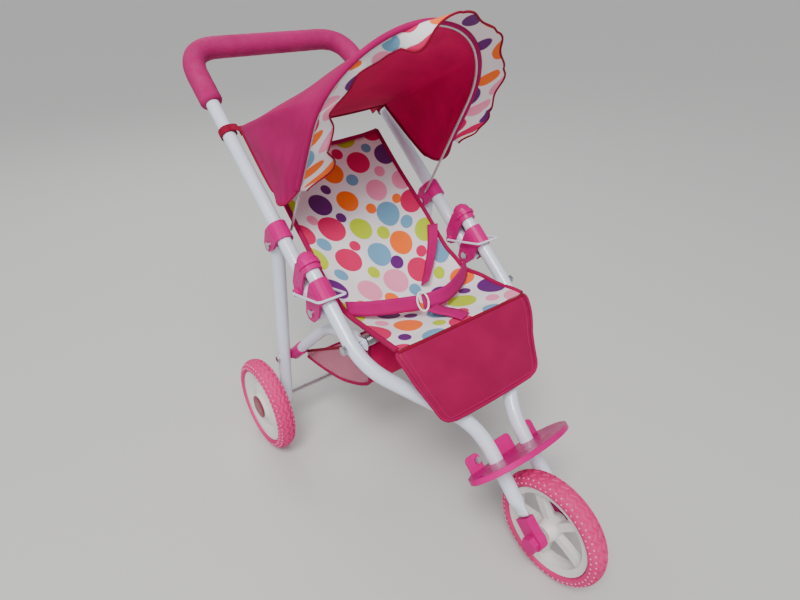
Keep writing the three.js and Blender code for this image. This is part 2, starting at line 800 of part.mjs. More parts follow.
for (const [name, sign] of sides) {
  const x = sign * frameHalfWidth;
  addPart(`front_tube_${name}`, 'whitePaint', makeFrontTube(sign));
  addPart(`fork_end_${name}`, 'pinkPlastic', makeForkEnd(sign));
  addPart(`latch_cap_${name}`, 'pinkPlastic', makeLatchCap(sign));
  addPart(`fold_bracket_${name}`, 'pinkPlastic', makeFoldBracket(sign));
  addPart(`fold_rivet_${name}`, 'steel', makeRivet(x, foldPivot.y, foldPivot.z, plateOuter));
  addPart(`link_bolt_${name}`, 'steel', makeLinkBolt(sign));
  addPart(`link_spring_${name}`, 'steel', makeSpring(sign));
  addPart(`foot_plate_bolt_${name}`, 'steel', makeFootPlateBolt(sign));
  addPart(`axle_knob_${name}`, 'pinkPlastic', bar(
    sign * (forkHalfWidth + 7 + gap),
    sign * (forkHalfWidth + 16),
    10.5,
    frontAxle.y,
    frontAxle.z,
    6,
  ));
  addPart(`leg_bracket_${name}`, 'pinkPlastic', makeLegBracket(sign));
  addPart(`leg_rivet_${name}`, 'steel', makeRivet(x, legPivot.y, legPivot.z, plateOuter));
  addPart(`rear_leg_${name}`, 'whitePaint', makeLeg(sign));
  addPart(`leg_screw_${name}`, 'steel', makeLegScrew(sign));
  addPart(`link_${name}`, 'whitePaint', makeLink(sign));
  addPart(`link_clip_${name}`, 'pinkPlastic', makeLinkClip(sign));
  addPart(`bail_${name}`, 'whitePaint', makeBail(sign));
  addPart(`rear_rim_${name}`, 'whitePlastic', makeRearRim(sign));
  addPart(`rear_tyre_${name}`, 'tyreFoam', makeTyre(sign * rearTrack, rearAxle.y));
  addPart(`hub_cap_${name}`, 'crimsonPlastic', makeHubCap(sign));
}

addPart('handle_tube', 'whitePaint', makeHandleTube());
addPart('handle_grip', 'pinkFoam', makeGrip());
addPart('foot_plate', 'pinkPlastic', makeFootPlate());
addPart('front_axle', 'steel', bar(-34, 34, 4, frontAxle.y, frontAxle.z));
addPart('front_rim', 'whitePlastic', makeFrontRim());
addPart('front_tyre', 'tyreFoam', makeTyre(0, frontAxle.y));
addPart('rear_axle', 'steel', bar(-rearTrack - 12, rearTrack + 12, 3.5, rearAxle.y, rearAxle.z));
addPart('seat_bar', 'whitePaint', makeSeatBar());
addPart('canopy_hoop', 'steel', makeHoop());
addPart('canopy', 'pinkCloth', makeCanopy());
addPart('seat_back', 'dottedCloth', makeSeatBack());
addPart('seat_base', 'dottedCloth', makeSeatBase());
addPart('calf_panel', 'pinkCloth', makeCalfPanel());
addPart('basket', 'meshCloth', makeBasket());
addPart('waist_strap_right', 'webbing', strap(
  [vec(-100, 254, 304), vec(-66, 240, 304), vec(-34, 226, 303)],
  20,
  2,
  vec(0, -0.5, 0.86),
));
addPart('waist_strap_left', 'webbing', strap(
  [vec(-14, 222, 303), vec(30, 226, 303), vec(66, 240, 304), vec(100, 254, 304)],
  20,
  2,
  vec(0, -0.5, 0.86),
));
addPart('crotch_strap', 'webbing', strap(
  [vec(2, 172, 298), vec(-4, 190, 297), vec(-14, 204, 297)],
  20,
  2,
  vec(1, 0.3, 0),
));
addPart('buckle_ring', 'whitePlastic', bar(-33, -15, 1.6, 222, 303, 8));

export default stroller;
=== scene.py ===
import json
import math

import bpy
from mathutils import Matrix, Vector


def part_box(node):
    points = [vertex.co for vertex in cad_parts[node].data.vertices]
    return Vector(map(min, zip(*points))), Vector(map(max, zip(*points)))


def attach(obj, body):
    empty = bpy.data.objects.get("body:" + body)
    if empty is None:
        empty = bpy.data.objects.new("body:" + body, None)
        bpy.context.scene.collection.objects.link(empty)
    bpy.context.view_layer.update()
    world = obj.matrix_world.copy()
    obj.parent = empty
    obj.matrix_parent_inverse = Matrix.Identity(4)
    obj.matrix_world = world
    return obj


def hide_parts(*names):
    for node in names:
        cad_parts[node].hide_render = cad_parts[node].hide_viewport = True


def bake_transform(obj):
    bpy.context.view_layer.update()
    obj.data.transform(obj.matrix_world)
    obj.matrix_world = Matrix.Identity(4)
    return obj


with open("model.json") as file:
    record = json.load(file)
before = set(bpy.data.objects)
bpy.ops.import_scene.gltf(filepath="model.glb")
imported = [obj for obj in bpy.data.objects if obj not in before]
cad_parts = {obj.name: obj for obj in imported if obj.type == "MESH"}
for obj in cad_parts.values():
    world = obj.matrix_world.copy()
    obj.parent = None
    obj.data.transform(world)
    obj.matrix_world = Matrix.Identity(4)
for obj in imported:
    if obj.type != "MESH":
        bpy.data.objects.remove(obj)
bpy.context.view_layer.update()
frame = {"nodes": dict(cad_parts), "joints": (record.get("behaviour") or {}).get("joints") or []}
joints = {joint["name"]: joint for joint in frame["joints"]}
sides = {"right": -1, "left": 1}
print("frame loaded")

# Sizes in metres. "along" runs up the handle tube from the fold pivot, "above" stands off its axis.
strollerSizes = {
    "lean": math.radians(40.6),
    "halfWidth": 0.132,
    "tubeRadius": 0.0095,
    "tubePitch": 0.030,
    "handleLength": 0.4277,
    "handleCorner": 0.050,
    "gripStart": 0.330,
    "gripRadius": 0.0155,
    "forkHalfWidth": 0.028,
    "forkTop": (0.108, 0.180),  # behind the front hub, and above the ground
    "wheelTrack": 0.167,
}
foldPivot = Vector(joints["fold"]["pos_m"])
legPivot = Vector(joints["leg_swing"]["pos_m"])
linkPivot = Vector(joints["link_swing"]["pos_m"])
hoopPivot = Vector(joints["canopy_swing"]["pos_m"])
bailPivot = Vector(joints["bail_left_swing"]["pos_m"])
frontHub = Vector(joints["front_wheel_spin"]["pos_m"])
rearHub = Vector(joints["rear_wheel_left_spin"]["pos_m"])
forkTop = Vector((0, frontHub.y + strollerSizes["forkTop"][0], strollerSizes["forkTop"][1]))
forkRun = (forkTop - frontHub).normalized()


def onSide(x, along, above):
    lean = strollerSizes["lean"]
    return Vector((
        x,
        foldPivot.y + along * math.cos(lean) - above * math.sin(lean),
        foldPivot.z + along * math.sin(lean) + above * math.cos(lean),
    ))


def atX(x, point):
    return Vector((x, point.y, point.z))


def mix(a, b, amount):
    return a + (b - a) * amount


def ease(t):
    t = min(max(t, 0.0), 1.0)
    return t * t * (3 - 2 * t)


# Camera, at eye height in front of the pusher's right-hand side
cameraSetup = {
    "position": (-0.4228, -0.5270, 0.660),
    "yaw": 37.74,
    "down": 29.78,
    "roll": -0.85,
    "lens": 25.09,
}


def makeCamera():
    yaw = math.radians(cameraSetup["yaw"])
    down = math.radians(cameraSetup["down"])
    roll = math.radians(cameraSetup["roll"])
    forward = Vector((math.sin(yaw) * math.cos(down), math.cos(yaw) * math.cos(down), -math.sin(down)))
    level = Vector((math.cos(yaw), -math.sin(yaw), 0))
    upright = level.cross(forward)
    right = level * math.cos(roll) + upright * math.sin(roll)
    up = upright * math.cos(roll) - level * math.sin(roll)
    data = bpy.data.cameras.new("camera")
    data.sensor_width = 36
    data.lens = cameraSetup["lens"]
    data.clip_start = 0.02
    camera = bpy.data.objects.new("camera", data)
    turn = Matrix((right, up, -forward)).transposed().to_4x4()
    camera.matrix_world = Matrix.Translation(cameraSetup["position"]) @ turn
    bpy.context.scene.collection.objects.link(camera)
    bpy.context.scene.camera = camera


makeCamera()

# Floor and light
studio = {
    "floor": (0.58, 0.57, 0.55, 1),
    "floorReach": 60,
    "sky": (0.93, 0.95, 1.0, 1),
    "skyStrength": 0.45,
    "sunStrength": 1.7,
    "sunSpread": math.radians(40),
    "sunTurn": (math.radians(32), math.radians(-24), 0),
    "lamps": {
        "keyLamp": {"place": (-1.1, -0.9, 2.1), "size": 0.8, "power": 34},
        "rearLamp": {"place": (0.2, 1.8, 1.9), "size": 1.0, "power": 14},
    },
    "lampAim": (0, 0, 0.25),
}


def addLamp(name, place, size, power):
    data = bpy.data.lights.new(name, "AREA")
    data.shape = "DISK"
    data.size = size
    data.energy = power
    lamp = bpy.data.objects.new(name, data)
    lamp.location = place
    lamp.rotation_mode = "QUATERNION"
    lamp.rotation_quaternion = (Vector(studio["lampAim"]) - Vector(place)).to_track_quat("-Z", "Y")
    bpy.context.scene.collection.objects.link(lamp)


def makeStudio():
    mesh = bpy.data.meshes.new("floor")
    edge = studio["floorReach"]
    corners = [(-edge, -edge, 0), (edge, -edge, 0), (edge, edge, 0), (-edge, edge, 0)]
    mesh.from_pydata(corners, [], [(0, 1, 2, 3)])
    floor = bpy.data.objects.new("floor", mesh)
    bpy.context.scene.collection.objects.link(floor)
    finish = bpy.data.materials.new("studioFloor")
    finish.use_nodes = True
    shader = finish.node_tree.nodes["Principled BSDF"]
    shader.inputs["Base Color"].default_value = studio["floor"]
    shader.inputs["Roughness"].default_value = 0.7
    mesh.materials.append(finish)
    world = bpy.data.worlds.new("studio")
    world.use_nodes = True
    world.node_tree.nodes["Background"].inputs["Color"].default_value = studio["sky"]
    world.node_tree.nodes["Background"].inputs["Strength"].default_value = studio["skyStrength"]
    bpy.context.scene.world = world
    for name, lamp in studio["lamps"].items():
        addLamp(name, **lamp)
    data = bpy.data.lights.new("windowLight", "SUN")
    data.energy = studio["sunStrength"]
    data.angle = studio["sunSpread"]
    sun = bpy.data.objects.new("windowLight", data)
    sun.rotation_euler = studio["sunTurn"]
    bpy.context.scene.collection.objects.link(sun)


makeStudio()
print("camera and studio set")


# Shared effects, as node groups

def newGroup(name, inputs, outputs):
    tree = bpy.data.node_groups.new(name, "ShaderNodeTree")
    for label, kind, value in inputs:
        socket = tree.interface.new_socket(label, in_out="INPUT", socket_type=kind)
        if value is not None:
            socket.default_value = value
    for label, kind in outputs:
        tree.interface.new_socket(label, in_out="OUTPUT", socket_type=kind)
    return tree, tree.nodes.new("NodeGroupInput"), tree.nodes.new("NodeGroupOutput")


def mathNode(tree, operation, *values):
    node = tree.nodes.new("ShaderNodeMath")
    node.operation = operation
    for index, value in enumerate(values):
        if isinstance(value, (int, float)):
            node.inputs[index].default_value = value
        else:
            tree.links.new(value, node.inputs[index])
    return node.outputs[0]


def scaled(tree, vector, factor):
    node = tree.nodes.new("ShaderNodeVectorMath")
    node.operation = "SCALE"
    tree.links.new(vector, node.inputs[0])
    tree.links.new(factor, node.inputs["Scale"])
    return node.outputs[0]


def makeWeaveGroup():
    # Over-and-under threads of a plain weave, as a height
    tree, source, sink = newGroup(
        "threadWeave",
        [("Vector", "NodeSocketVector", None), ("Threads", "NodeSocketFloat", 1400.0)],
        [("Height", "NodeSocketFloat")],
    )
    split = tree.nodes.new("ShaderNodeSeparateXYZ")
    tree.links.new(scaled(tree, source.outputs["Vector"], source.outputs["Threads"]), split.inputs[0])
    warp = mathNode(tree, "SINE", mathNode(tree, "MULTIPLY", split.outputs["X"], math.pi))
    weft = mathNode(tree, "SINE", mathNode(tree, "MULTIPLY", split.outputs["Y"], math.pi))
    both = mathNode(tree, "MULTIPLY", warp, weft)
    tree.links.new(mathNode(tree, "MULTIPLY_ADD", both, 0.5, 0.5), sink.inputs["Height"])
    return tree


def makeCloudGroup():
    # Slow, cloudy change between a low and a high value
    tree, source, sink = newGroup(
        "softCloud",
        [
            ("Vector", "NodeSocketVector", None),
            ("Scale", "NodeSocketFloat", 30.0),
            ("Low", "NodeSocketFloat", 0.0),
            ("High", "NodeSocketFloat", 1.0),
        ],
        [("Value", "NodeSocketFloat")],
    )
    noise = tree.nodes.new("ShaderNodeTexNoise")
    noise.inputs["Detail"].default_value = 4
    tree.links.new(source.outputs["Vector"], noise.inputs["Vector"])
    tree.links.new(source.outputs["Scale"], noise.inputs["Scale"])
    spread = tree.nodes.new("ShaderNodeMapRange")
    spread.inputs["From Min"].default_value = 0.32
    spread.inputs["From Max"].default_value = 0.68
    tree.links.new(noise.outputs["Fac"], spread.inputs["Value"])
    tree.links.new(source.outputs["Low"], spread.inputs["To Min"])
    tree.links.new(source.outputs["High"], spread.inputs["To Max"])
    tree.links.new(spread.outputs["Result"], sink.inputs["Value"])
    return tree


def makeDotGroup():
    # One round dot in each cell of a loose grid: its mask, and a number that picks its colour
    tree, source, sink = newGroup(
        "roundDots",
        [
            ("Vector", "NodeSocketVector", None),
            ("Cells", "NodeSocketFloat", 16.0),
            ("Shift", "NodeSocketFloat", 0.0),
            ("Radius", "NodeSocketFloat", 0.36),
        ],
        [("Mask", "NodeSocketFloat"), ("Pick", "NodeSocketFloat")],
    )
    moved = tree.nodes.new("ShaderNodeVectorMath")
    moved.operation = "ADD"
    tree.links.new(scaled(tree, source.outputs["Vector"], source.outputs["Cells"]), moved.inputs[0])
    tree.links.new(source.outputs["Shift"], moved.inputs[1])
    cells = tree.nodes.new("ShaderNodeTexVoronoi")
    cells.voronoi_dimensions = "2D"
    cells.inputs["Scale"].default_value = 1.0
    cells.inputs["Randomness"].default_value = 0.2
    tree.links.new(moved.outputs[0], cells.inputs["Vector"])
    split = tree.nodes.new("ShaderNodeSeparateColor")
    tree.links.new(cells.outputs["Color"], split.inputs[0])
    limit = mathNode(tree, "MULTIPLY_ADD", split.outputs["Green"], 0.06, source.outputs["Radius"])
    inside = mathNode(tree, "SUBTRACT", limit, cells.outputs["Distance"])
    soft = mathNode(tree, "MULTIPLY", inside, 60.0)
    clamp = tree.nodes.new("ShaderNodeClamp")
    tree.links.new(soft, clamp.inputs["Value"])
    tree.links.new(clamp.outputs[0], sink.inputs["Mask"])
    tree.links.new(split.outputs["Red"], sink.inputs["Pick"])
    return tree


weaveGroup = makeWeaveGroup()
cloudGroup = makeCloudGroup()
dotGroup = makeDotGroup()


# Materials

def useGroup(tree, group, vector, **values):
    node = tree.nodes.new("ShaderNodeGroup")
    node.node_tree = group
    tree.links.new(vector, node.inputs["Vector"])
    for label, value in values.items():
        node.inputs[label].default_value = value
    return node


def mixColours(tree, factor, first, second):
    node = tree.nodes.new("ShaderNodeMix")
    node.data_type = "RGBA"
    tree.links.new(factor, node.inputs[0])
    for socket, value in ((node.inputs[6], first), (node.inputs[7], second)):
        if isinstance(value, tuple):
            socket.default_value = (*value, 1)
        else:
            tree.links.new(value, socket)
    return node.outputs[2]


def startMaterial(name, coordinates="Object"):
    material = bpy.data.materials.new(name)
    material.use_nodes = True
    tree = material.node_tree
    place = tree.nodes.new("ShaderNodeTexCoord")
    return material, tree, tree.nodes["Principled BSDF"], place.outputs[coordinates]


def addBump(tree, shader, height, strength, distance):
    bump = tree.nodes.new("ShaderNodeBump")
    bump.inputs["Strength"].default_value = strength
    bump.inputs["Distance"].default_value = distance
    tree.links.new(height, bump.inputs["Height"])
    tree.links.new(bump.outputs["Normal"], shader.inputs["Normal"])


def smoothFinish(
    name, colour, shade, roughness, metallic=0.0, coat=0.0, grain=220.0, bump=0.05, shine=0.5,
):
    # Paint, moulded plastic, metal or foam: clouded colour, uneven gloss and a fine skin
    material, tree, shader, place = startMaterial(name)
    cloud = useGroup(tree, cloudGroup, place, Scale=14.0)
    gloss = useGroup(tree, cloudGroup, place, Scale=60.0, Low=roughness * 0.85, High=min(roughness * 1.3, 1))
    skin = useGroup(tree, cloudGroup, place, Scale=grain)
    tree.links.new(mixColours(tree, cloud.outputs["Value"], colour, shade), shader.inputs["Base Color"])
    tree.links.new(gloss.outputs["Value"], shader.inputs["Roughness"])
    shader.inputs["Metallic"].default_value = metallic
    shader.inputs["Coat Weight"].default_value = coat
    shader.inputs["Specular IOR Level"].default_value = shine
    shader.inputs["Coat Roughness"].default_value = 0.08
    addBump(tree, shader, skin.outputs["Value"], bump, 0.0004)
    return material


def clothFinish(name, colour, shade, threads=900.0, sheen=0.02, roughness=0.85):
    # Woven cloth or tape in slightly clouded dye
    material, tree, shader, place = startMaterial(name, "UV")
    cloud = useGroup(tree, cloudGroup, place, Scale=22.0)
    weave = useGroup(tree, weaveGroup, place, Threads=threads)
    tinted = mixColours(tree, cloud.outputs["Value"], colour, shade)
    thread = mathNode(tree, "MULTIPLY", weave.outputs["Height"], 0.25)
    tree.links.new(mixColours(tree, thread, tinted, shade), shader.inputs["Base Color"])
    shader.inputs["Roughness"].default_value = roughness
    shader.inputs["Specular IOR Level"].default_value = 0.25
    shader.inputs["Sheen Weight"].default_value = sheen
    shader.inputs["Sheen Roughness"].default_value = 0.4
    addBump(tree, shader, weave.outputs["Height"], 0.35, 0.0004)
    return material


dotPrint = {
    "ground": (0.84, 0.80, 0.82),
    "groundShade": (0.66, 0.62, 0.66),
    "threads": 1100.0,
    "bigCells": 20.5,
    "bigRadius": 0.36,
    "smallRadius": 0.17,
    "inks": [
        (0.46, 0.60, 0.004),
        (0.92, 0.15, 0.004),
        (0.62, 0.0, 0.09),
        (0.11, 0.0, 0.15),
        (0.14, 0.33, 0.50),
        (0.84, 0.26, 0.42),
    ],
}


def addInks(tree, pick, offset):
    ramp = tree.nodes.new("ShaderNodeValToRGB")
    ramp.color_ramp.interpolation = "CONSTANT"
    inks = dotPrint["inks"]
    marks = ramp.color_ramp.elements
    while len(marks) < len(inks):
        marks.new(0.5)
    for index in range(len(inks)):
        marks[index].position = index / len(inks)
        marks[index].color = (*inks[(index + offset) % len(inks)], 1)
    tree.links.new(pick, ramp.inputs["Fac"])
    return ramp.outputs["Color"]


def dottedFinish(name, bigCells, shift):
    material, tree, shader, place = startMaterial(name, "UV")
    big = useGroup(tree, dotGroup, place, Cells=bigCells, Shift=shift, Radius=dotPrint["bigRadius"])
    small = useGroup(
        tree, dotGroup, place, Cells=bigCells, Shift=shift + 0.5, Radius=dotPrint["smallRadius"],
    )
    weave = useGroup(tree, weaveGroup, place, Threads=dotPrint["threads"])
    cloud = useGroup(tree, cloudGroup, place, Scale=18.0, Low=0.0, High=0.35)
    ground = mixColours(tree, cloud.outputs["Value"], dotPrint["ground"], dotPrint["groundShade"])
    withSmall = mixColours(tree, small.outputs["Mask"], ground, addInks(tree, small.outputs["Pick"], 2))
    printed = mixColours(tree, big.outputs["Mask"], withSmall, addInks(tree, big.outputs["Pick"], 0))
    tree.links.new(printed, shader.inputs["Base Color"])
    shader.inputs["Roughness"].default_value = 0.8
    shader.inputs["Sheen Weight"].default_value = 0.05
    addBump(tree, shader, weave.outputs["Height"], 0.3, 0.0003)
    return material


# The yarn's own colour, and a paler colour that is a painted highlight on the crown of each strand
netKnit = {"colour": (0.36, 0.0, 0.075), "crownHighlight": (0.88, 0.42, 0.52), "cells": 480.0, "hole": 0.36}


def netFinish(name):
    # Knitted net: round holes cut out by the mask, and the yarn painted paler away from the holes as a
    # painted highlight on the crown of each strand
    material, tree, shader, place = startMaterial(name, "UV")
    spots = tree.nodes.new("ShaderNodeTexVoronoi")
    spots.voronoi_dimensions = "2D"
    spots.inputs["Scale"].default_value = netKnit["cells"]
    spots.inputs["Randomness"].default_value = 0.15
    tree.links.new(place, spots.inputs["Vector"])
    solid = mathNode(tree, "GREATER_THAN", spots.outputs["Distance"], netKnit["hole"])
    yarn = mixColours(tree, spots.outputs["Distance"], netKnit["colour"], netKnit["crownHighlight"])
    tree.links.new(yarn, shader.inputs["Base Color"])
    tree.links.new(solid, shader.inputs["Alpha"])
    shader.inputs["Roughness"].default_value = 0.8
    addBump(tree, shader, spots.outputs["Distance"], 0.4, 0.0006)
    return material


finishes = {
    "paint": smoothFinish("whitePaint", (0.76, 0.81, 0.93), (0.68, 0.74, 0.87), 0.2, coat=0.5, grain=90.0),
    "plastic": smoothFinish("pinkPlastic", (0.60, 0.0, 0.20), (0.52, 0.0, 0.16), 0.3, shine=0.16),
    "foam": smoothFinish("gripFoam", (0.42, 0.003, 0.125), (0.34, 0.002, 0.10), 0.75, grain=420.0, bump=0.7),
    "tyre": smoothFinish("tyreFoam", (0.74, 0.025, 0.20), (0.62, 0.014, 0.15), 0.6, grain=500.0, bump=0.5),
    # Studs, painted lighter than the tyre: a painted highlight on each stud
    "stud": smoothFinish("tyreStudHighlight", (0.92, 0.34, 0.46), (0.86, 0.26, 0.38), 0.5, grain=500.0, bump=0.2),
    "rim": smoothFinish("rimPlastic", (0.80, 0.79, 0.75), (0.72, 0.71, 0.67), 0.3, coat=0.2),
    "cap": smoothFinish("capPlastic", (0.24, 0.0, 0.03), (0.19, 0.0, 0.024), 0.35, coat=0.1),
    "steel": smoothFinish("platedSteel", (0.60, 0.61, 0.63), (0.48, 0.49, 0.51), 0.28, metallic=1.0),
    "ring": smoothFinish("ringPlastic", (0.86, 0.85, 0.82), (0.80, 0.79, 0.77), 0.3, coat=0.2),
    "canopyOut": clothFinish("canopyCloth", (0.42, 0.0, 0.115), (0.34, 0.0, 0.088)),
    "canopyIn": clothFinish("liningCloth", (0.66, 0.0, 0.11), (0.52, 0.0, 0.082), sheen=0.01),
    "panel": clothFinish("panelCloth", (0.34, 0.0, 0.065), (0.27, 0.0, 0.05), roughness=0.5),
    "binding": clothFinish("bindingTape", (0.28, 0.0, 0.028), (0.21, 0.0, 0.02), threads=1500.0),
    "pinkBinding": clothFinish("pinkTape", (0.38, 0.0, 0.075), (0.30, 0.0, 0.06), threads=1500.0),
    "webbing": clothFinish("harnessWebbing", (0.48, 0.0, 0.15), (0.37, 0.0, 0.115), threads=700.0),
    "thread": clothFinish("sewingThread", (0.60, 0.03, 0.2), (0.5, 0.02, 0.16), threads=3000.0),
    "seat": dottedFinish("dottedCloth", dotPrint["bigCells"], 3.2),
    "valance": dottedFinish("valanceCloth", dotPrint["bigCells"] * 0.95, 8.4),
    "net": netFinish("basketNet"),
}
print("materials made")


# Mesh building

def addPiece(name, vertices, faces, materials):
    mesh = bpy.data.meshes.new(name)
    mesh.from_pydata([tuple(v) for v in vertices], [], faces)
    for material in materials:
        mesh.materials.append(finishes[material])
    mesh.update()
    piece = bpy.data.objects.new(name, mesh)
    bpy.context.scene.collection.objects.link(piece)
    mesh.polygons.foreach_set("use_smooth", [True] * len(mesh.polygons))
    return piece


def setUv(piece, coordinates):
    # One UV coordinate for each vertex, in metres of cloth
    layer = piece.data.uv_layers.new(name="cut")
    for loop in piece.data.loops:
        layer.data[loop.index].uv = coordinates[loop.vertex_index]


def roundedPath(points, reach, steps=10):
    # A line through the points with its corners rounded
    path = [points[0].copy()]
    for before, corner, after in zip(points, points[1:], points[2:]):
        back = before - corner
        ahead = after - corner
        size = min(reach, back.length * 0.49, ahead.length * 0.49)
        start = corner + back.normalized() * size
        end = corner + ahead.normalized() * size
        for step in range(steps + 1):
            t = step / steps
            path.append(start * (1 - t) ** 2 + corner * 2 * t * (1 - t) + end * t * t)
    path.append(points[-1].copy())
    return path


def evenPath(path, spacing):
    # The same path with points at an even spacing
    lengths = [0.0]
    for a, b in zip(path, path[1:]):
        lengths.append(lengths[-1] + (b - a).length)
    count = max(2, round(lengths[-1] / spacing))
    result = []
    index = 0
    for step in range(count + 1):
        target = lengths[-1] * step / count
        while index < len(path) - 2 and lengths[index + 1] < target:
            index += 1
        span = max(lengths[index + 1] - lengths[index], 1e-9)
        result.append(path[index].lerp(path[index + 1], min(max((target - lengths[index]) / span, 0), 1)))
    return result


def smoothPath(points, perSpan=8):
    # A Catmull-Rom curve through the points
    ends = [points[0] * 2 - points[1], *points, points[-1] * 2 - points[-2]]
    path = []
    for i in range(len(points) - 1):
        p0, p1, p2, p3 = ends[i:i + 4]
        for step in range(perSpan):
            t = step / perSpan
            path.append(0.5 * (
                p1 * 2 + (p2 - p0) * t + (p0 * 2 - p1 * 5 + p2 * 4 - p3) * t * t
                + (p1 * 3 - p0 - p2 * 3 + p3) * t ** 3
            ))
    path.append(points[-1].copy())
    return path


def pointOn(path, share):
    spot = share * (len(path) - 1)
    index = min(int(spot), len(path) - 2)
    return path[index].lerp(path[index + 1], spot - index)


def makeTube(name, path, radius, material, sides=20, flatten=None):
    # A closed tube. radius is a number, or a function of the share of the path; flatten squeezes in X
    vertices = []
    uv = []
    normal = None
    run = 0.0
    total = sum((b - a).length for a, b in zip(path, path[1:]))
    for i, point in enumerate(path):
        before = path[max(i - 1, 0)]
        after = path[min(i + 1, len(path) - 1)]
        direction = (after - before).normalized()
        if normal is None:
            guess = Vector((1, 0, 0)) if abs(direction.x) < 0.9 else Vector((0, 0, 1))
            normal = (guess - direction * guess.dot(direction)).normalized()
        normal = (normal - direction * normal.dot(direction)).normalized()
        other = direction.cross(normal)
        run += (point - before).length
        share = run / total
        size = radius(share) if callable(radius) else radius
        for side in range(sides):
            angle = 2 * math.pi * side / sides
            offset = (normal * math.cos(angle) + other * math.sin(angle)) * size
            if flatten:
                squeeze, shift = flatten(share)
                offset.x = offset.x * squeeze + shift
            vertices.append(point + offset)
            uv.append((side / sides * 2 * math.pi * size, run))
    faces = []
    for i in range(len(path) - 1):
        for side in range(sides):
            a = i * sides + side
            b = i * sides + (side + 1) % sides
            faces.append((a, b, b + sides, a + sides))
    faces.append(tuple(reversed(range(sides))))
    last = (len(path) - 1) * sides
    faces.append(tuple(range(last, last + sides)))
    piece = addPiece(name, vertices, faces, [material])
    setUv(piece, uv)
    for cap in (piece.data.polygons[-1], piece.data.polygons[-2]):
        cap.use_smooth = False
    return piece


def makeTurned(name, profile, count, centre, material, shaped=None):
    # A closed profile of (radius, x) turned about the X axis; shaped may move each point
    vertices = []
    for step in range(count):
        angle = 2 * math.pi * step / count
        for radius, x in profile:
            if shaped:
                radius, x = shaped(radius, x, angle)
            vertices.append(centre + Vector((x, radius * math.cos(angle), radius * math.sin(angle))))
    rows = len(profile)
    faces = []
    for step in range(count):
        after = (step + 1) % count
        for row in range(rows):
            below = (row + 1) % rows
            faces.append((step * rows + row, step * rows + below, after * rows + below, after * rows + row))
    return addPiece(name, vertices, faces, [material])


def makeGrid(name, pointAt, across, down, thickness, materials):
    # A sheet of cloth over a grid, with its cut size as UV, given a thickness
    rows = [[pointAt(i / across, j / down) for i in range(across + 1)] for j in range(down + 1)]
    vertices = [point for row in rows for point in row]
    faces = []
    width = across + 1
    for j in range(down):
        for i in range(across):
            a = j * width + i
            faces.append((a, a + 1, a + 1 + width, a + width))
    piece = addPiece(name, vertices, faces, materials)
    widths = [sum((b - a).length for a, b in zip(row, row[1:])) for row in rows]
    middle = [row[across // 2] for row in rows]
    drops = [0.0]
    for a, b in zip(middle, middle[1:]):
        drops.append(drops[-1] + (b - a).length)
    setUv(piece, [
        ((i / across - 0.5) * widths[j], drops[j]) for j in range(down + 1) for i in range(across + 1)
    ])
    columns = [[row[i] for row in rows] for i in range(across + 1)]
    piece["cutWidth"] = max(widths)
    piece["cutLength"] = max(sum((b - a).length for a, b in zip(line, line[1:])) for line in columns)
    whole = piece["cutWidth"] * piece["cutLength"]
    piece["cutArea"] = min(sum(face.area for face in piece.data.polygons), whole)
    shell = piece.modifiers.new("thickness", "SOLIDIFY")
    shell.thickness = thickness
    shell.offset = 0
    if len(materials) > 1:
        shell.material_offset = 1
    return piece


stitch = {"spacing": 0.0034, "length": 0.0022, "radius": 0.00035}


def makeStitches(name, path):
    # A row of short threads laid along a seam
    vertices = []
    faces = []
    marks = evenPath(path, stitch["spacing"])
    for a, b in zip(marks, marks[1:]):
        direction = (b - a).normalized()
        side = direction.cross(Vector((0.3, 0.2, 0.93))).normalized()
        top = side.cross(direction)
        start = len(vertices)
        for end in (a, a + direction * stitch["length"]):
            for turn in ((1, 0), (0, 1), (-1, 0), (0, -1)):
                vertices.append(end + (side * turn[0] + top * turn[1]) * stitch["radius"])
        for k in range(4):
            faces.append((start + k, start + (k + 1) % 4, start + 4 + (k + 1) % 4, start + 4 + k))
        faces.append((start + 3, start + 2, start + 1, start))
        faces.append((start + 4, start + 5, start + 6, start + 7))
    piece = addPiece(name, vertices, faces, ["thread"])
    setUv(piece, [(v.y, v.z) for v in vertices])
    return piece


def makeSmoothShading():
    # Nodes for a modifier that shades a CAD piece smooth and leaves its mesh alone
    group = bpy.data.node_groups.new("smoothShading", "GeometryNodeTree")
    for way in ("INPUT", "OUTPUT"):
        group.interface.new_socket("Geometry", in_out=way, socket_type="NodeSocketGeometry")
    entry = group.nodes.new("NodeGroupInput")
    leave = group.nodes.new("NodeGroupOutput")
    shade = group.nodes.new("GeometryNodeSetShadeSmooth")
    group.links.new(entry.outputs[0], shade.inputs["Geometry"])
    group.links.new(shade.outputs[0], leave.inputs[0])
    return group


smoothShading = makeSmoothShading()


def easeEdges(piece, width):
    eased = piece.modifiers.new("easedEdges", "BEVEL")
    eased.width = width
    eased.segments = 3
    eased.limit_method = "ANGLE"
    eased.angle_limit = math.radians(32)
    eased.harden_normals = True


def finishNode(node, material, bevel=0.0006):
    # A CAD piece keeps its shape, shaded smooth with its edges eased
    piece = frame["nodes"][node]
    piece.data.materials.clear()
    piece.data.materials.append(finishes[material])
    piece.modifiers.new("smoothFaces", "NODES").node_group = smoothShading
    easeEdges(piece, bevel)


# Frame tubes
frontTubeShape = {
    "top": 0.050, "knee": -0.093, "bend": 0.038, "straightTo": 0.070, "endTo": 0.031, "endHalf": 0.029,
    "crimp": 0.42, "crimpFrom": 0.95,
}


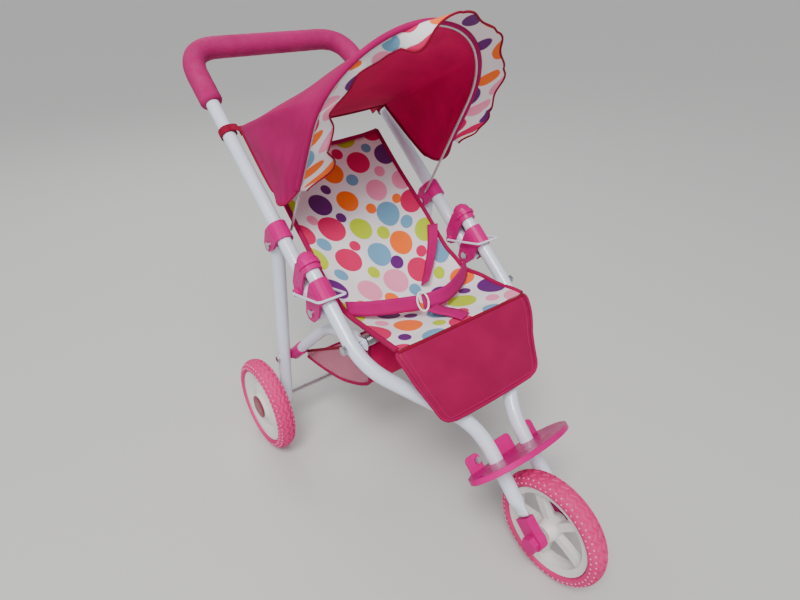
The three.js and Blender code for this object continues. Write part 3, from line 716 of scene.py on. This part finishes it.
def makeFrontTube(name, sign):
    shape = frontTubeShape
    x = sign * strollerSizes["halfWidth"]
    forkX = sign * strollerSizes["forkHalfWidth"]
    path = roundedPath([
        onSide(x, shape["top"], strollerSizes["tubePitch"]),
        onSide(x, shape["knee"], strollerSizes["tubePitch"]),
        atX(forkX, forkTop),
        atX(forkX, frontHub + forkRun * shape["straightTo"]),
        atX(sign * shape["endHalf"], frontHub + forkRun * shape["endTo"]),
    ], shape["bend"])

    def pressed(share):
        return mix(1, shape["crimp"], ease((share - shape["crimpFrom"]) / 0.035)), 0

    radius = strollerSizes["tubeRadius"]
    tube = makeTube(f"frontTube_{name}", evenPath(path, 0.004), radius, "paint", 28, pressed)
    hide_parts(f"front_tube_{name}")
    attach(tube, "front_frame")


rearLegShape = {"above": 0.0052, "below": 0.014}


def makeRearLeg(name, sign):
    x = sign * strollerSizes["halfWidth"]
    down = (atX(0, rearHub) - atX(0, legPivot)).normalized()
    leg = makeTube(f"rearLeg_{name}", evenPath([
        atX(x, legPivot) - down * rearLegShape["above"],
        atX(x, rearHub) + down * rearLegShape["below"],
    ], 0.01), strollerSizes["tubeRadius"], "paint", 28)
    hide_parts(f"rear_leg_{name}")
    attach(leg, "rear_legs")


linkShape = {
    "centre": 0.112, "radius": 0.0075, "bend": 0.026, "pinHeight": 0.157, "flat": 0.3, "flatFrom": 0.86,
    "shift": 0.0055,
}


def makeLink(name, sign):
    shape = linkShape
    clipX = sign * shape["centre"]
    pinY = mix(legPivot.y, rearHub.y, (legPivot.z - shape["pinHeight"]) / (legPivot.z - rearHub.z))
    path = roundedPath([
        Vector((clipX, pinY - 0.012, shape["pinHeight"] + 0.010)),
        Vector((clipX, linkPivot.y + 0.0916, 0.256)),
        linkPivot + Vector((clipX, 0.034, -0.008)),
        linkPivot + Vector((clipX, -0.009, 0.002)),
    ], shape["bend"])

    def flattened(share):
        past = share - shape["flatFrom"]
        return mix(1, shape["flat"], ease(past / 0.07)), sign * shape["shift"] * ease(past / 0.09)

    link = makeTube(f"linkTube_{name}", evenPath(path, 0.003), shape["radius"], "paint", 24, flattened)
    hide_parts(f"link_{name}")
    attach(link, "seat_link")


bailShape = {
    "turn": math.radians(126.5), "reach": 0.0675, "half": 0.0195, "stub": 0.0146, "wire": 0.0016,
    "corner": 0.005,
}


def makeBail(name, sign):
    direction = strollerSizes["lean"] + bailShape["turn"]
    reach = Vector((0, math.cos(direction), math.sin(direction))) * bailShape["reach"]
    hinge = atX(sign * strollerSizes["halfWidth"], bailPivot)
    wide = Vector((bailShape["half"], 0, 0))
    stub = Vector((bailShape["stub"], 0, 0))
    wire = makeTube(f"bailWire_{name}", roundedPath([
        hinge - stub, hinge - wide, hinge - wide + reach, hinge + wide + reach, hinge + wide, hinge + stub,
    ], bailShape["corner"], 6), bailShape["wire"], "paint", 14)
    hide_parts(f"bail_{name}")
    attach(wire, f"bail_{name}_body")


springCoil = {"turns": 6, "steps": 16, "radius": 0.0062, "wire": 0.00085, "inset": 0.001}


def makeSpring(name):
    low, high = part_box(f"link_spring_{name}")
    steps = springCoil["turns"] * springCoil["steps"]
    path = []
    for step in range(steps + 1):
        angle = 2 * math.pi * step / springCoil["steps"]
        x = mix(low[0] + springCoil["inset"], high[0] - springCoil["inset"], step / steps)
        outward = Vector((0, math.cos(angle), math.sin(angle))) * springCoil["radius"]
        path.append(atX(x, linkPivot) + outward)
    coil = makeTube(f"springCoil_{name}", path, springCoil["wire"], "steel", 8)
    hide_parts(f"link_spring_{name}")
    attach(coil, "front_frame")


def makeFrameTubes():
    for name, sign in sides.items():
        makeFrontTube(name, sign)
        makeRearLeg(name, sign)
        makeLink(name, sign)
        makeBail(name, sign)
        makeSpring(name)


def makeHandle():
    half = strollerSizes["halfWidth"]
    length = strollerSizes["handleLength"]
    corners = [
        onSide(-half, -0.010, 0), onSide(-half, length, 0), onSide(half, length, 0), onSide(half, -0.010, 0),
    ]
    path = evenPath(roundedPath(corners, strollerSizes["handleCorner"], 14), 0.004)
    tube = makeTube("handleTube", path, strollerSizes["tubeRadius"], "paint", 28)
    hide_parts("handle_tube")
    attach(tube, "handle_frame")
    corners[0] = onSide(-half, strollerSizes["gripStart"], 0)
    corners[3] = onSide(half, strollerSizes["gripStart"], 0)
    gripPath = evenPath(roundedPath(corners, strollerSizes["handleCorner"], 14), 0.0025)

    def gripRadius(share):
        end = min(share, 1 - share) * 90
        ribs = 1 + 0.006 * math.sin(share * 130)
        return mix(0.0118, strollerSizes["gripRadius"], ease(end) ** 0.5) * ribs

    grip = makeTube("foamGrip", gripPath, gripRadius, "foam", 32)
    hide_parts("handle_grip")
    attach(grip, "handle_frame")


seatBarShape = {"height": 0.284, "bend": 0.014, "radius": 0.004}


def makeSeatBar():
    low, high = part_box("seat_bar")
    reach = high[0] - seatBarShape["radius"]
    frontY = low[1] + seatBarShape["radius"]
    bar = makeTube("seatBar", roundedPath([
        Vector((-reach, linkPivot.y + 0.005, linkPivot.z - 0.001)),
        Vector((-reach, frontY, seatBarShape["height"])),
        Vector((reach, frontY, seatBarShape["height"])),
        Vector((reach, linkPivot.y + 0.005, linkPivot.z - 0.001)),
    ], seatBarShape["bend"]), seatBarShape["radius"], "paint", 16)
    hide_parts("seat_bar")
    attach(bar, "front_frame")


makeFrameTubes()
makeHandle()
makeSeatBar()
print("tubes made")

# Wheels
tyreShape = {
    "half": 0.014, "middle": 0.0635, "height": 0.0115, "bead": (0.0593, 0.0095),
    "treadFrom": 0.0700, "rows": (-0.0078, 0.0, 0.0078), "zigzags": 34, "zigzag": 0.0024,
    "groove": 0.0026, "grooveWidth": 0.0014,
}


def tyreProfile():
    # Tread from one bead round to the other, fine enough for the grooves
    points = []
    steps = 48
    for step in range(steps + 1):
        angle = math.pi * (step / steps - 0.5) * 1.16
        x = tyreShape["half"] * math.sin(angle)
        points.append((tyreShape["middle"] + tyreShape["height"] * math.cos(angle), x))
    radius, x = tyreShape["bead"]
    return [*points, (radius, x), (radius, -x)]


def treadShape(radius, x, angle):
    if radius > tyreShape["treadFrom"]:
        wave = math.asin(math.sin(angle * tyreShape["zigzags"])) / (math.pi / 2)
        for row in tyreShape["rows"]:
            distance = abs(x - row - wave * tyreShape["zigzag"])
            radius -= tyreShape["groove"] * max(0.0, 1 - distance / tyreShape["grooveWidth"])
    return radius, x


studShape = {
    "count": 54,
    "rows": ((0.0705, 0.0), (0.0652, 0.5)),  # radius on the wheel, and shift along the row
    "rings": ((0.0012, -0.0006), (0.0011, 0.0003), (0.0006, 0.0008)),  # size and height of each ring
}


def makeStuds(name, centre, body):
    # Small round studs in two rows on each side wall, coloured lighter than the tyre as a painted highlight
    # on each stud
    vertices = []
    faces = []
    rows = [(side, wall, shift) for side in (-1, 1) for wall, shift in studShape["rows"]]
    for side, wall, shift in rows:
        rise = wall - tyreShape["middle"]
        x = side * tyreShape["half"] * math.sqrt(max(0.0, 1 - (rise / tyreShape["height"]) ** 2))
        for step in range(studShape["count"]):
            angle = 2 * math.pi * (step + shift) / studShape["count"]
            outward = Vector((0, math.cos(angle), math.sin(angle)))
            spot = centre + Vector((x, 0, 0)) + outward * wall
            away = (Vector((x, 0, 0)) + outward * rise * 1.5).normalized()
            along = away.cross(Vector((1, 0, 0)).cross(outward)).normalized()
            aside = away.cross(along)
            start = len(vertices)
            for size, height in studShape["rings"]:
                for k in range(8):
                    turn = 2 * math.pi * k / 8
                    ring = along * math.cos(turn) + aside * math.sin(turn)
                    vertices.append(spot + ring * size + away * height)
            for level in (0, 8):
                for k in range(8):
                    a = start + level + k
                    b = start + level + (k + 1) % 8
                    faces.append((a, b, b + 8, a + 8))
            faces.append(tuple(start + 7 - k for k in range(8)))
            faces.append(tuple(start + 16 + k for k in range(8)))
    studs = addPiece(name, vertices, faces, ["stud"])
    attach(studs, body)


def makeTyre(piece, node, centre, body):
    makeStuds(f"{piece}Studs", centre, body)
    tyre = makeTurned(piece, tyreProfile(), 480, centre, "tyre", treadShape)
    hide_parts(node)
    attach(tyre, body)


def roundedProfile(points, reach):
    # Eases the corners of a closed profile
    result = []
    count = len(points)
    for i, corner in enumerate(points):
        corner = Vector(corner)
        back = Vector(points[i - 1]) - corner
        ahead = Vector(points[(i + 1) % count]) - corner
        size = min(reach, back.length * 0.4, ahead.length * 0.4)
        start = corner + back.normalized() * size
        end = corner + ahead.normalized() * size
        for step in range(4):
            t = step / 3
            result.append(tuple(start * (1 - t) ** 2 + corner * 2 * t * (1 - t) + end * t * t))
    return result


# Profiles as (radius, x), with x pointing outwards
rearDisc = [
    (0.0042, -0.015), (0.012, -0.015), (0.014, 0.001), (0.038, -0.0015), (0.050, 0.0005), (0.052, -0.009),
    (0.059, -0.011), (0.059, 0.011), (0.050, 0.009), (0.038, 0.0045), (0.023, 0.009), (0.019, 0.0135),
    (0.0042, 0.0135),
]
hubDome = [(0.0005, 0.0138), (0.0180, 0.0138), (0.0190, 0.0150), (0.0155, 0.0162), (0.0005, 0.0164)]


def makeRearWheel(name, sign):
    centre = atX(sign * strollerSizes["wheelTrack"], rearHub)
    disc = [(radius, sign * x) for radius, x in roundedProfile(rearDisc, 0.0016)][::sign]
    dome = [(radius, sign * x) for radius, x in roundedProfile(hubDome, 0.0006)][::sign]
    rim = makeTurned(f"rearRim_{name}", disc, 96, centre, "rim")
    cap = makeTurned(f"hubCap_{name}", dome, 48, centre, "cap")
    for piece, node, finish in ((rim, "rear_rim", "white_plastic"), (cap, "hub_cap", "crimson_plastic")):
        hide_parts(f"{node}_{name}")
        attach(piece, f"rear_wheel_{name}")
    makeTyre(f"rearTyre_{name}", f"rear_tyre_{name}", centre, f"rear_wheel_{name}")


for sideName, sideSign in sides.items():
    makeRearWheel(sideName, sideSign)
makeTyre("frontTyre", "front_tyre", frontHub, "front_wheel")
finishNode("front_rim", "rim", 0.0012)
print("wheels made")

# Foot plate: a wing with a turned-down lip, and a wall in three tabs behind the fork tubes
footPlate = {
    "along": 0.098, "half": 0.080, "depth": 0.046, "centre": 0.014, "rear": -0.016,
    "top": 0.004, "lip": -0.0032, "thick": 0.0026, "wallHalf": 0.060, "wallTop": 0.024,
    "wallThick": 0.004, "corner": 0.006, "room": 0.0012,
}


def makeFootPlate():
    forward = Vector((0, -forkRun.z, forkRun.y))
    origin = frontHub + forkRun * footPlate["along"]
    wall = footPlate["wallHalf"]
    rear = footPlate["rear"]
    corner = footPlate["corner"]
    vertices = []
    faces = []

    def place(x, y, z):
        vertices.append(origin + Vector((-x, 0, 0)) + forward * y + forkRun * z)

    outline = []
    for step in range(61):
        angle = mix(-0.13, 1.13, step / 60) * math.pi
        outline.append(Vector((
            footPlate["half"] * math.cos(angle), footPlate["centre"] + footPlate["depth"] * math.sin(angle),
        )))
    outline += [Vector((-wall, rear)), Vector((wall, rear))]
    count = len(outline)
    under = footPlate["top"] - footPlate["thick"]
    levels = [
        (0.005, footPlate["top"]), (0, footPlate["top"]), (0, footPlate["lip"]),
        (footPlate["thick"], footPlate["lip"]), (footPlate["thick"], under), (0.006, under),
    ]
    for inset, height in levels:
        for step, spot in enumerate(outline):
            way = (outline[(step + 1) % count] - outline[step - 1]).normalized()
            place(spot.x - way.y * inset, spot.y + way.x * inset, height)
    for level in range(len(levels) - 1):
        for step in range(count):
            a = level * count + step
            b = level * count + (step + 1) % count
            faces.append((a, a + count, b + count, b))
    faces.append(tuple(range(count)))
    faces.append(tuple(range((len(levels) - 1) * count, len(levels) * count))[::-1])
    inner = strollerSizes["forkHalfWidth"] - strollerSizes["tubeRadius"] - footPlate["room"]
    outer = strollerSizes["forkHalfWidth"] + strollerSizes["tubeRadius"] + footPlate["room"]
    for low, high in ((-wall, -outer), (-inner, inner), (outer, wall)):
        tab = [(low, under), (high, under)]
        for middle, turn in ((high - corner, 0), (low + corner, 90)):
            for step in range(7):
                angle = math.radians(turn + step * 15)
                height = footPlate["wallTop"] - corner * (1 - math.sin(angle))
                tab.append((middle + corner * math.cos(angle), height))
        start = len(vertices)
        for y in (rear, rear + footPlate["wallThick"]):
            for x, z in tab:
                place(x, y, z)
        size = len(tab)
        for step in range(size):
            a = start + step
            b = start + (step + 1) % size
            faces.append((b, a, a + size, b + size))
        faces.append(tuple(range(start, start + size)))
        faces.append(tuple(range(start + size, start + 2 * size))[::-1])
    plate = addPiece("footPlate", vertices, faces, ["plastic"])
    easeEdges(plate, 0.0008)
    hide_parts("foot_plate")
    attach(plate, "front_frame")


makeFootPlate()
print("foot plate made")

# Brackets and hardware keep their CAD shape
for sideName in sides:
    for node in ("fork_end", "latch_cap", "fold_bracket", "leg_bracket", "link_clip", "axle_knob"):
        finishNode(f"{node}_{sideName}", "plastic", 0.0014)
    for node in ("fold_rivet", "link_bolt", "foot_plate_bolt", "leg_rivet", "leg_screw"):
        finishNode(f"{node}_{sideName}", "steel", 0.0005)
finishNode("front_axle", "steel", 0.0004)
finishNode("rear_axle", "steel", 0.0006)
print("hardware finished")

# Seat sling, from the front bar down to the crease and up the back
seatCut = {
    "middle": [
        (-0.1106, 0.2935), (-0.080, 0.2880), (-0.046, 0.2790), (-0.018, 0.2725), (0.006, 0.2790),
        (0.044, 0.3060), (0.120, 0.3720), (0.204, 0.4490),
    ],
    "edge": [
        (-0.1106, 0.2945), (-0.080, 0.2930), (-0.040, 0.2915), (-0.004, 0.2920), (0.022, 0.3030),
        (0.054, 0.3260), (0.124, 0.3860), (0.2035, 0.4550),
    ],
    "halfWidths": [0.106, 0.105, 0.104, 0.103, 0.103, 0.103, 0.102, 0.100],
    "tape": 0.0036,
}


seatLines = {
    key: smoothPath([Vector((0, y, z)) for y, z in seatCut[key]], 12) for key in ("middle", "edge")
}


def seatPoint(u, v):
    halfWidths = seatCut["halfWidths"]
    place = v * (len(halfWidths) - 1)
    index = min(int(place), len(halfWidths) - 2)
    half = mix(halfWidths[index], halfWidths[index + 1], place - index)
    hang = math.sin(math.pi * u) ** 0.8
    point = pointOn(seatLines["edge"], v).lerp(pointOn(seatLines["middle"], v), hang)
    wrinkle = 0.0011 * math.sin(11 * u + 3) * math.sin(26 * v)
    wrinkle += 0.0009 * math.sin(23 * u) * math.sin(9 * v + 1)
    return Vector(((2 * u - 1) * half, point.y - wrinkle * 0.6, point.z + wrinkle * 0.8))


def makeSeat():
    seat = makeGrid("seatSling", seatPoint, 44, 90, 0.0016, ["seat"])
    edges = {
        "seatBinding_right": [seatPoint(0, v / 90) for v in range(91)],
        "seatBinding_left": [seatPoint(1, v / 90) for v in range(91)],
        "seatBinding_top": [seatPoint(u / 30, 1) for u in range(31)],
    }
    trims = [makeTube(name, path, seatCut["tape"], "pinkBinding", 12) for name, path in edges.items()]
    for piece in (seat, *trims):
        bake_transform(piece)
    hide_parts("seat_base", "seat_back")


# Calf panel, hanging from the seat's front edge
calfCut = {"top": (-0.1130, 0.2925), "bottom": (-0.1680, 0.2090), "topHalf": 0.1105, "bottomHalf": 0.081}


def calfPoint(u, v):
    half = mix(calfCut["topHalf"], calfCut["bottomHalf"], v ** 1.15)
    if v > 0.86:
        half -= 0.016 * (1 - math.sqrt(max(0.0, 1 - ((v - 0.86) / 0.14) ** 2)))
    if v < 0.06:
        half -= 0.003 * (1 - v / 0.06) ** 2
    across = 2 * u - 1
    out = 0.007 * math.sin(math.pi * v) * (1 - across * across)
    out += 0.0040 * math.sin(7.5 * u + 0.6) * (1 - v) * math.sin(math.pi * min(v * 2.0, 1))
    out += 0.0016 * math.sin(15 * u - 6 * v) * math.sin(math.pi * v)
    out += 0.003 * across ** 2 * v
    y = mix(calfCut["top"][0], calfCut["bottom"][0], v)
    z = mix(calfCut["top"][1], calfCut["bottom"][1], v) - 0.004 * (1 - across * across) * v
    return Vector((across * half, y - out * 0.77, z + out * 0.3))


def makeCalfPanel():
    panel = makeGrid("calfPanel", lambda u, v: calfPoint(1 - u, v), 36, 30, 0.0016, ["panel"])
    border = [calfPoint(0, v / 30) for v in range(31)]
    border += [calfPoint(u / 30, 1) for u in range(1, 31)]
    border += [calfPoint(1, 1 - v / 30) for v in range(1, 31)]
    inset = [calfPoint(0.045, v / 30 * 0.95) for v in range(31)]
    inset += [calfPoint(0.045 + 0.91 * u / 30, 0.95) for u in range(1, 31)]
    inset += [calfPoint(0.955, 0.95 - v / 30 * 0.95) for v in range(1, 31)]
    lifted = [point + Vector((0, -0.0007, 0.0005)) for point in inset]
    trim = makeTube("calfBinding", border, 0.0023, "pinkBinding", 10)
    top = makeTube("calfSeam", [calfPoint(u / 30, 0.0) for u in range(31)], 0.0021, "binding", 10)
    stitches = makeStitches("calfStitches", lifted)
    for piece in (panel, trim, top, stitches):
        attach(piece, "front_frame")
    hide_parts("calf_panel")


makeSeat()
makeCalfPanel()
print("seat and calf panel made")

# Canopy over the hoop, tied back to the handle tubes
hoopShape = {
    "half": 0.116, "straight": 0.160, "wire": 0.0018, "lean": math.radians(120),
    "clothLow": (0.070, 0.098),
}
canopyCut = {
    "tieHalf": 0.121, "tieAlong": 0.268, "tieAbove": 0.019, "flapAlong": 0.158, "flapAbove": 0.034,
    "crown": 0.010,
}
hoopUp = Vector((0, math.cos(hoopShape["lean"]), math.sin(hoopShape["lean"])))
hoopAhead = Vector((0, -math.sin(hoopShape["lean"]), math.cos(hoopShape["lean"])))


def hoopPoint(run, reach):
    # A point round the hoop, by the length run from the foot of the right leg, and its outward direction
    straight = hoopShape["straight"]
    arch = math.pi * reach
    if run < straight:
        return hoopPivot + Vector((-reach, 0, 0)) + hoopUp * run, Vector((-1, 0, 0))
    if run > straight + arch:
        return hoopPivot + Vector((reach, 0, 0)) + hoopUp * (2 * straight + arch - run), Vector((1, 0, 0))
    angle = math.pi - (run - straight) / reach
    outward = Vector((math.cos(angle), 0, 0)) + hoopUp * math.sin(angle)
    return hoopPivot + hoopUp * straight + outward * reach, outward


def canopyEdge(v):
    # The cloth's front edge, just outside the hoop
    reach = hoopShape["half"] + 0.004
    near, far = hoopShape["clothLow"]
    total = 2 * hoopShape["straight"] - near - far + math.pi * reach
    return hoopPoint(near + v * total, reach)


def canopyRear(v):
    # The cloth's rear edge: up each handle tube to the tie, then across
    side = min(v, 1 - v) / 0.25
    reach = canopyCut["tieHalf"]
    if side < 1:
        x = math.copysign(reach + 0.007 * (1 - side), v - 0.5)
        along = mix(canopyCut["flapAlong"], canopyCut["tieAlong"], side)
        return onSide(x, along, mix(canopyCut["flapAbove"], canopyCut["tieAbove"], side ** 0.5))
    share = (v - 0.25) / 0.5
    sag = Vector((0, 0, 0.006 * math.sin(math.pi * share)))
    return onSide(mix(-reach, reach, share), canopyCut["tieAlong"] + 0.004, canopyCut["tieAbove"]) - sag


def canopyPoint(u, v):
    front, outward = canopyEdge(v)
    point = front.lerp(canopyRear(v), u)
    belly = math.sin(math.pi * u) * math.sin(math.pi * v)
    fold = math.sin(math.pi * u) * (0.0022 * math.sin(19 * v + 4 * u) + 0.0014 * math.sin(41 * v - 7 * u))
    side = 1 - abs(2 * v - 1)
    if side < 0.45:
        dip = math.sin(math.pi * u) * (1 - side / 0.45)
        point += Vector((math.copysign(0.006 * dip, point.x), 0.0, -0.016 * dip * (1 - side / 0.45)))
    point += outward * (canopyCut["crown"] * belly + fold)
    return point


valanceCut = {"width": 0.036, "scallops": 9}


def valancePoint(u, v):
    # Flares outwards on the left side, and folds inwards on the right side
    front, outward = canopyEdge(v)
    inward = ease((0.56 - v) / 0.16)
    lean = mix(0.78, -0.85, inward)
    direction = (outward * lean + hoopAhead * mix(0.55, 0.10, inward)).normalized()
    scallop = abs(math.sin(math.pi * valanceCut["scallops"] * v))
    ends = min(v, 1 - v) / 0.05
    width = valanceCut["width"] * (0.78 + 0.22 * scallop ** 0.6) * mix(0.35, 1, ease(ends))
    width *= mix(1.0, mix(0.95, 0.42, ease((v - 0.06) / 0.16)), inward)
    ripple = 0.0045 * u * math.sin(2 * math.pi * valanceCut["scallops"] * v + 1.2)
    curl = 0.006 * u * u
    return front + direction * width * u + outward * (ripple - curl) + hoopAhead * ripple * 0.6


def makeCanopy():
    hoopPath = []
    total = 2 * hoopShape["straight"] + math.pi * hoopShape["half"]
    for step in range(121):
        hoopPath.append(hoopPoint(-0.004 + step / 120 * (total + 0.008), hoopShape["half"])[0])
    hoop = makeTube("hoopWire", hoopPath, hoopShape["wire"], "steel", 14)
    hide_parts("canopy_hoop")
    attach(hoop, "canopy_frame")
    finish = ["canopyOut", "canopyIn"]
    cloth = makeGrid("canopyCloth", lambda u, v: canopyPoint(v, u), 120, 26, 0.0014, finish)
    valance = makeGrid("canopyValance", lambda u, v: valancePoint(v, u), 160, 8, 0.0012, ["valance"])
    steps = range(121)
    edges = {
        "canopySleeve": ([canopyPoint(0, v / 120) for v in steps], 0.0034, "canopyOut"),
        "canopyRearHem": ([canopyPoint(1, v / 120) for v in steps], 0.0025, "binding"),
        "canopyHem_right": ([canopyPoint(u / 26, 0) for u in range(27)], 0.0023, "pinkBinding"),
        "canopyHem_left": ([canopyPoint(u / 26, 1) for u in range(27)], 0.0023, "pinkBinding"),
        "valanceHem": ([valancePoint(1, v / 160) for v in range(161)], 0.0013, "binding"),
    }
    trims = {name: makeTube(name, *edge, 10) for name, edge in edges.items()}
    valanceHem = trims.pop("valanceHem")
    for piece in (*trims.values(), cloth):
        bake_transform(piece)
    for piece in (valance, valanceHem):
        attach(piece, "canopy_frame")
    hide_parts("canopy")


# Straps, and the ties that hold the canopy's rear corners to the handle tube

def makeStrap(name, path, width, upright, material, body, thickness=0.0014):
    # Webbing along a path; without a body, the caller blends it
    path = evenPath(smoothPath([Vector(point) for point in path], 10), 0.004)

    def strapPoint(u, v):
        side = upright(v) if callable(upright) else upright
        return pointOn(path, v) + Vector(side).normalized() * (u - 0.5) * width

    strap = makeGrid(name, strapPoint, 4, len(path) - 1, thickness, [material])
    if body:
        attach(strap, body)
    return strap


tieShape = {"width": 0.0105, "thick": 0.0012, "loop": 0.0112, "along": 0.012}


def makeTies():
    tubeWay = (onSide(0, 1, 0) - onSide(0, 0, 0)).normalized()
    tubeUp = (onSide(0, 0, 1) - onSide(0, 0, 0)).normalized()
    along = canopyCut["tieAlong"]

    def makeTie(name, path):
        width = tieShape["width"]
        return makeStrap(name, path, width, tuple(tubeWay), "binding", "handle_frame", tieShape["thick"])

    for name, sign in sides.items():
        centre = onSide(sign * strollerSizes["halfWidth"], along + tieShape["along"], 0)
        ring = []
        for step in range(21):
            angle = 2 * math.pi * step / 20 * 0.97
            outward = Vector((1, 0, 0)) * math.cos(angle) + tubeUp * math.sin(angle)
            ring.append(centre + outward * tieShape["loop"])
        loop = makeTie(f"canopyTie_{name}", ring)
        bridge = makeTie(f"tieBridge_{name}", [
            onSide(sign * canopyCut["tieHalf"], along, canopyCut["tieAbove"]),
            onSide(sign * 0.126, along + 0.008, 0.0155),
            centre + tubeUp * 0.0118,
        ])
        tail = makeTie(f"tieTail_{name}", [
            centre + tubeUp * 0.0118 - Vector((sign * 0.004, 0, 0)),
            centre + tubeUp * 0.010 - Vector((sign * 0.014, 0, 0.004)) + tubeWay * 0.004,
            centre + tubeUp * 0.002 - Vector((sign * 0.020, 0, 0.012)) + tubeWay * 0.010,
        ])


makeCanopy()
makeTies()
print("canopy made")

# Harness
harness = {
    "width": 0.020,
    "leaning": (0, 0.42, 0.90),
    "near": [(-0.103, -0.004, 0.2990), (-0.082, -0.024, 0.3010), (-0.055, -0.042, 0.3030),
             (-0.026, -0.0556, 0.3035)],
    "far": [(-0.022, -0.0570, 0.3035), (0.010, -0.0610, 0.3040), (0.045, -0.048, 0.3030),
            (0.080, -0.026, 0.3010), (0.103, -0.006, 0.2990)],
    "crotch": [(0.004, -0.1085, 0.2962), (0.000, -0.092, 0.2955), (-0.010, -0.076, 0.2960),
               (-0.016, -0.068, 0.2990)],
    "shoulder": [(0.097, 0.062, 0.3420), (0.078, 0.040, 0.3210), (0.052, 0.018, 0.2990),
                 (0.030, 0.000, 0.2900)],
    "ringPlace": (-0.0245, -0.0600, 0.3065),
    "ringHalf": (0.0070, 0.0125),
    "ringWire": 0.0013,
}


def shoulderTurn(v):
    return 0.6 - 0.3 * v, -0.7, 0.2 + 0.5 * v


def makeHarness():
    width = harness["width"]
    leaning = harness["leaning"]
    near = makeStrap("waistStrap_right", harness["near"], width, leaning, "webbing", "front_frame")
    far = makeStrap("waistStrap_left", harness["far"], width, leaning, "webbing", "front_frame")
    crotch = makeStrap("crotchStrap", harness["crotch"], width, (1, 0.3, 0), "webbing", "front_frame")
    shoulder = makeStrap("shoulderStrap", harness["shoulder"], width * 0.8, shoulderTurn, "webbing", None)
    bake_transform(shoulder)
    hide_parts("waist_strap_right")
    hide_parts("waist_strap_left")
    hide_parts("crotch_strap")
    centre = Vector(harness["ringPlace"])
    wideWay = Vector((1, 0, 0)) * harness["ringHalf"][0]
    tallWay = Vector(leaning).normalized() * harness["ringHalf"][1]
    bowWay = Vector((0, -0.90, 0.42)).normalized() * 0.002
    oval = []
    for step in range(33):
        angle = 2 * math.pi * step / 32
        oval.append(centre + (wideWay + bowWay) * math.cos(angle) + tallWay * math.sin(angle))
    ring = makeTube("buckleRing", oval, harness["ringWire"], "ring", 12)
    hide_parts("buckle_ring")
    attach(ring, "front_frame")


makeHarness()
print("harness made")

# Basket under the seat
basketCut = {
    "floor": [
        (0.1290, 0.1500), (0.085, 0.1545), (0.035, 0.1640), (0.000, 0.1770), (-0.026, 0.1905),
        (-0.0390, 0.2010), (-0.0425, 0.2150), (-0.0430, 0.2380), (-0.0430, 0.2620),
    ],
    "half": 0.0985,
    "rearTop": (0.1300, 0.1600),
    "frontTop": (-0.0400, 0.2620),
}


def makeBasket():
    line = smoothPath([Vector((0, y, z)) for y, z in basketCut["floor"]], 8)

    def floorPoint(u, v):
        point = pointOn(line, v)
        sag = 0.006 * math.sin(math.pi * u) * math.sin(math.pi * min(v * 1.5, 1))
        return Vector(((2 * u - 1) * basketCut["half"], point.y, point.z - sag * 0.6))

    floor = makeGrid("basketFloor", floorPoint, 30, 64, 0.0012, ["net"])

    def frontPoint(u, v):
        return floorPoint(u, mix(0.615, 1.0, v)) + Vector((0, -0.0014, 0))

    front = makeGrid("basketFront", frontPoint, 30, 20, 0.0012, ["canopyIn"])
    pieces = [(floor, []), (front, [])]
    for name, sign in sides.items():
        x = sign * basketCut["half"]

        def wallPoint(u, v):
            bottom = floorPoint((sign + 1) / 2, u)
            rearY, rearZ = basketCut["rearTop"]
            frontY, frontZ = basketCut["frontTop"]
            top = Vector((x, mix(rearY, frontY, u), mix(rearZ, frontZ, u)))
            if u > 0.6:
                top = top.lerp(Vector((x, bottom.y + 0.003, max(top.z, bottom.z))), ease((u - 0.6) / 0.4))
            bulge = 0.002 * math.sin(math.pi * u) * math.sin(math.pi * v)
            return bottom.lerp(top, v) - Vector((sign * bulge, 0, 0))

        wall = makeGrid(f"basketWall_{name}", wallPoint, 40, 12, 0.0012, ["net"])
        bottom = [wallPoint(u / 40, 0) for u in range(41)]
        top = [wallPoint(u / 40, 1) for u in range(41)]
        bottomHem = makeTube(f"basketHem_{name}", bottom, 0.0024, "pinkBinding", 10)
        topHem = makeTube(f"basketEdge_{name}", top, 0.0022, "binding", 10)
        pieces.append((wall, [bottomHem, topHem]))
    rear = [floorPoint(u / 20, 0) for u in range(21)]
    rearHem = makeTube("basketRearHem", rear, 0.0026, "pinkBinding", 10)
    pieces[0][1].append(rearHem)
    for sheetPiece, hems in pieces:
        for piece in (sheetPiece, *hems):
            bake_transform(piece)
    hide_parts("basket")


makeBasket()
print("basket made")
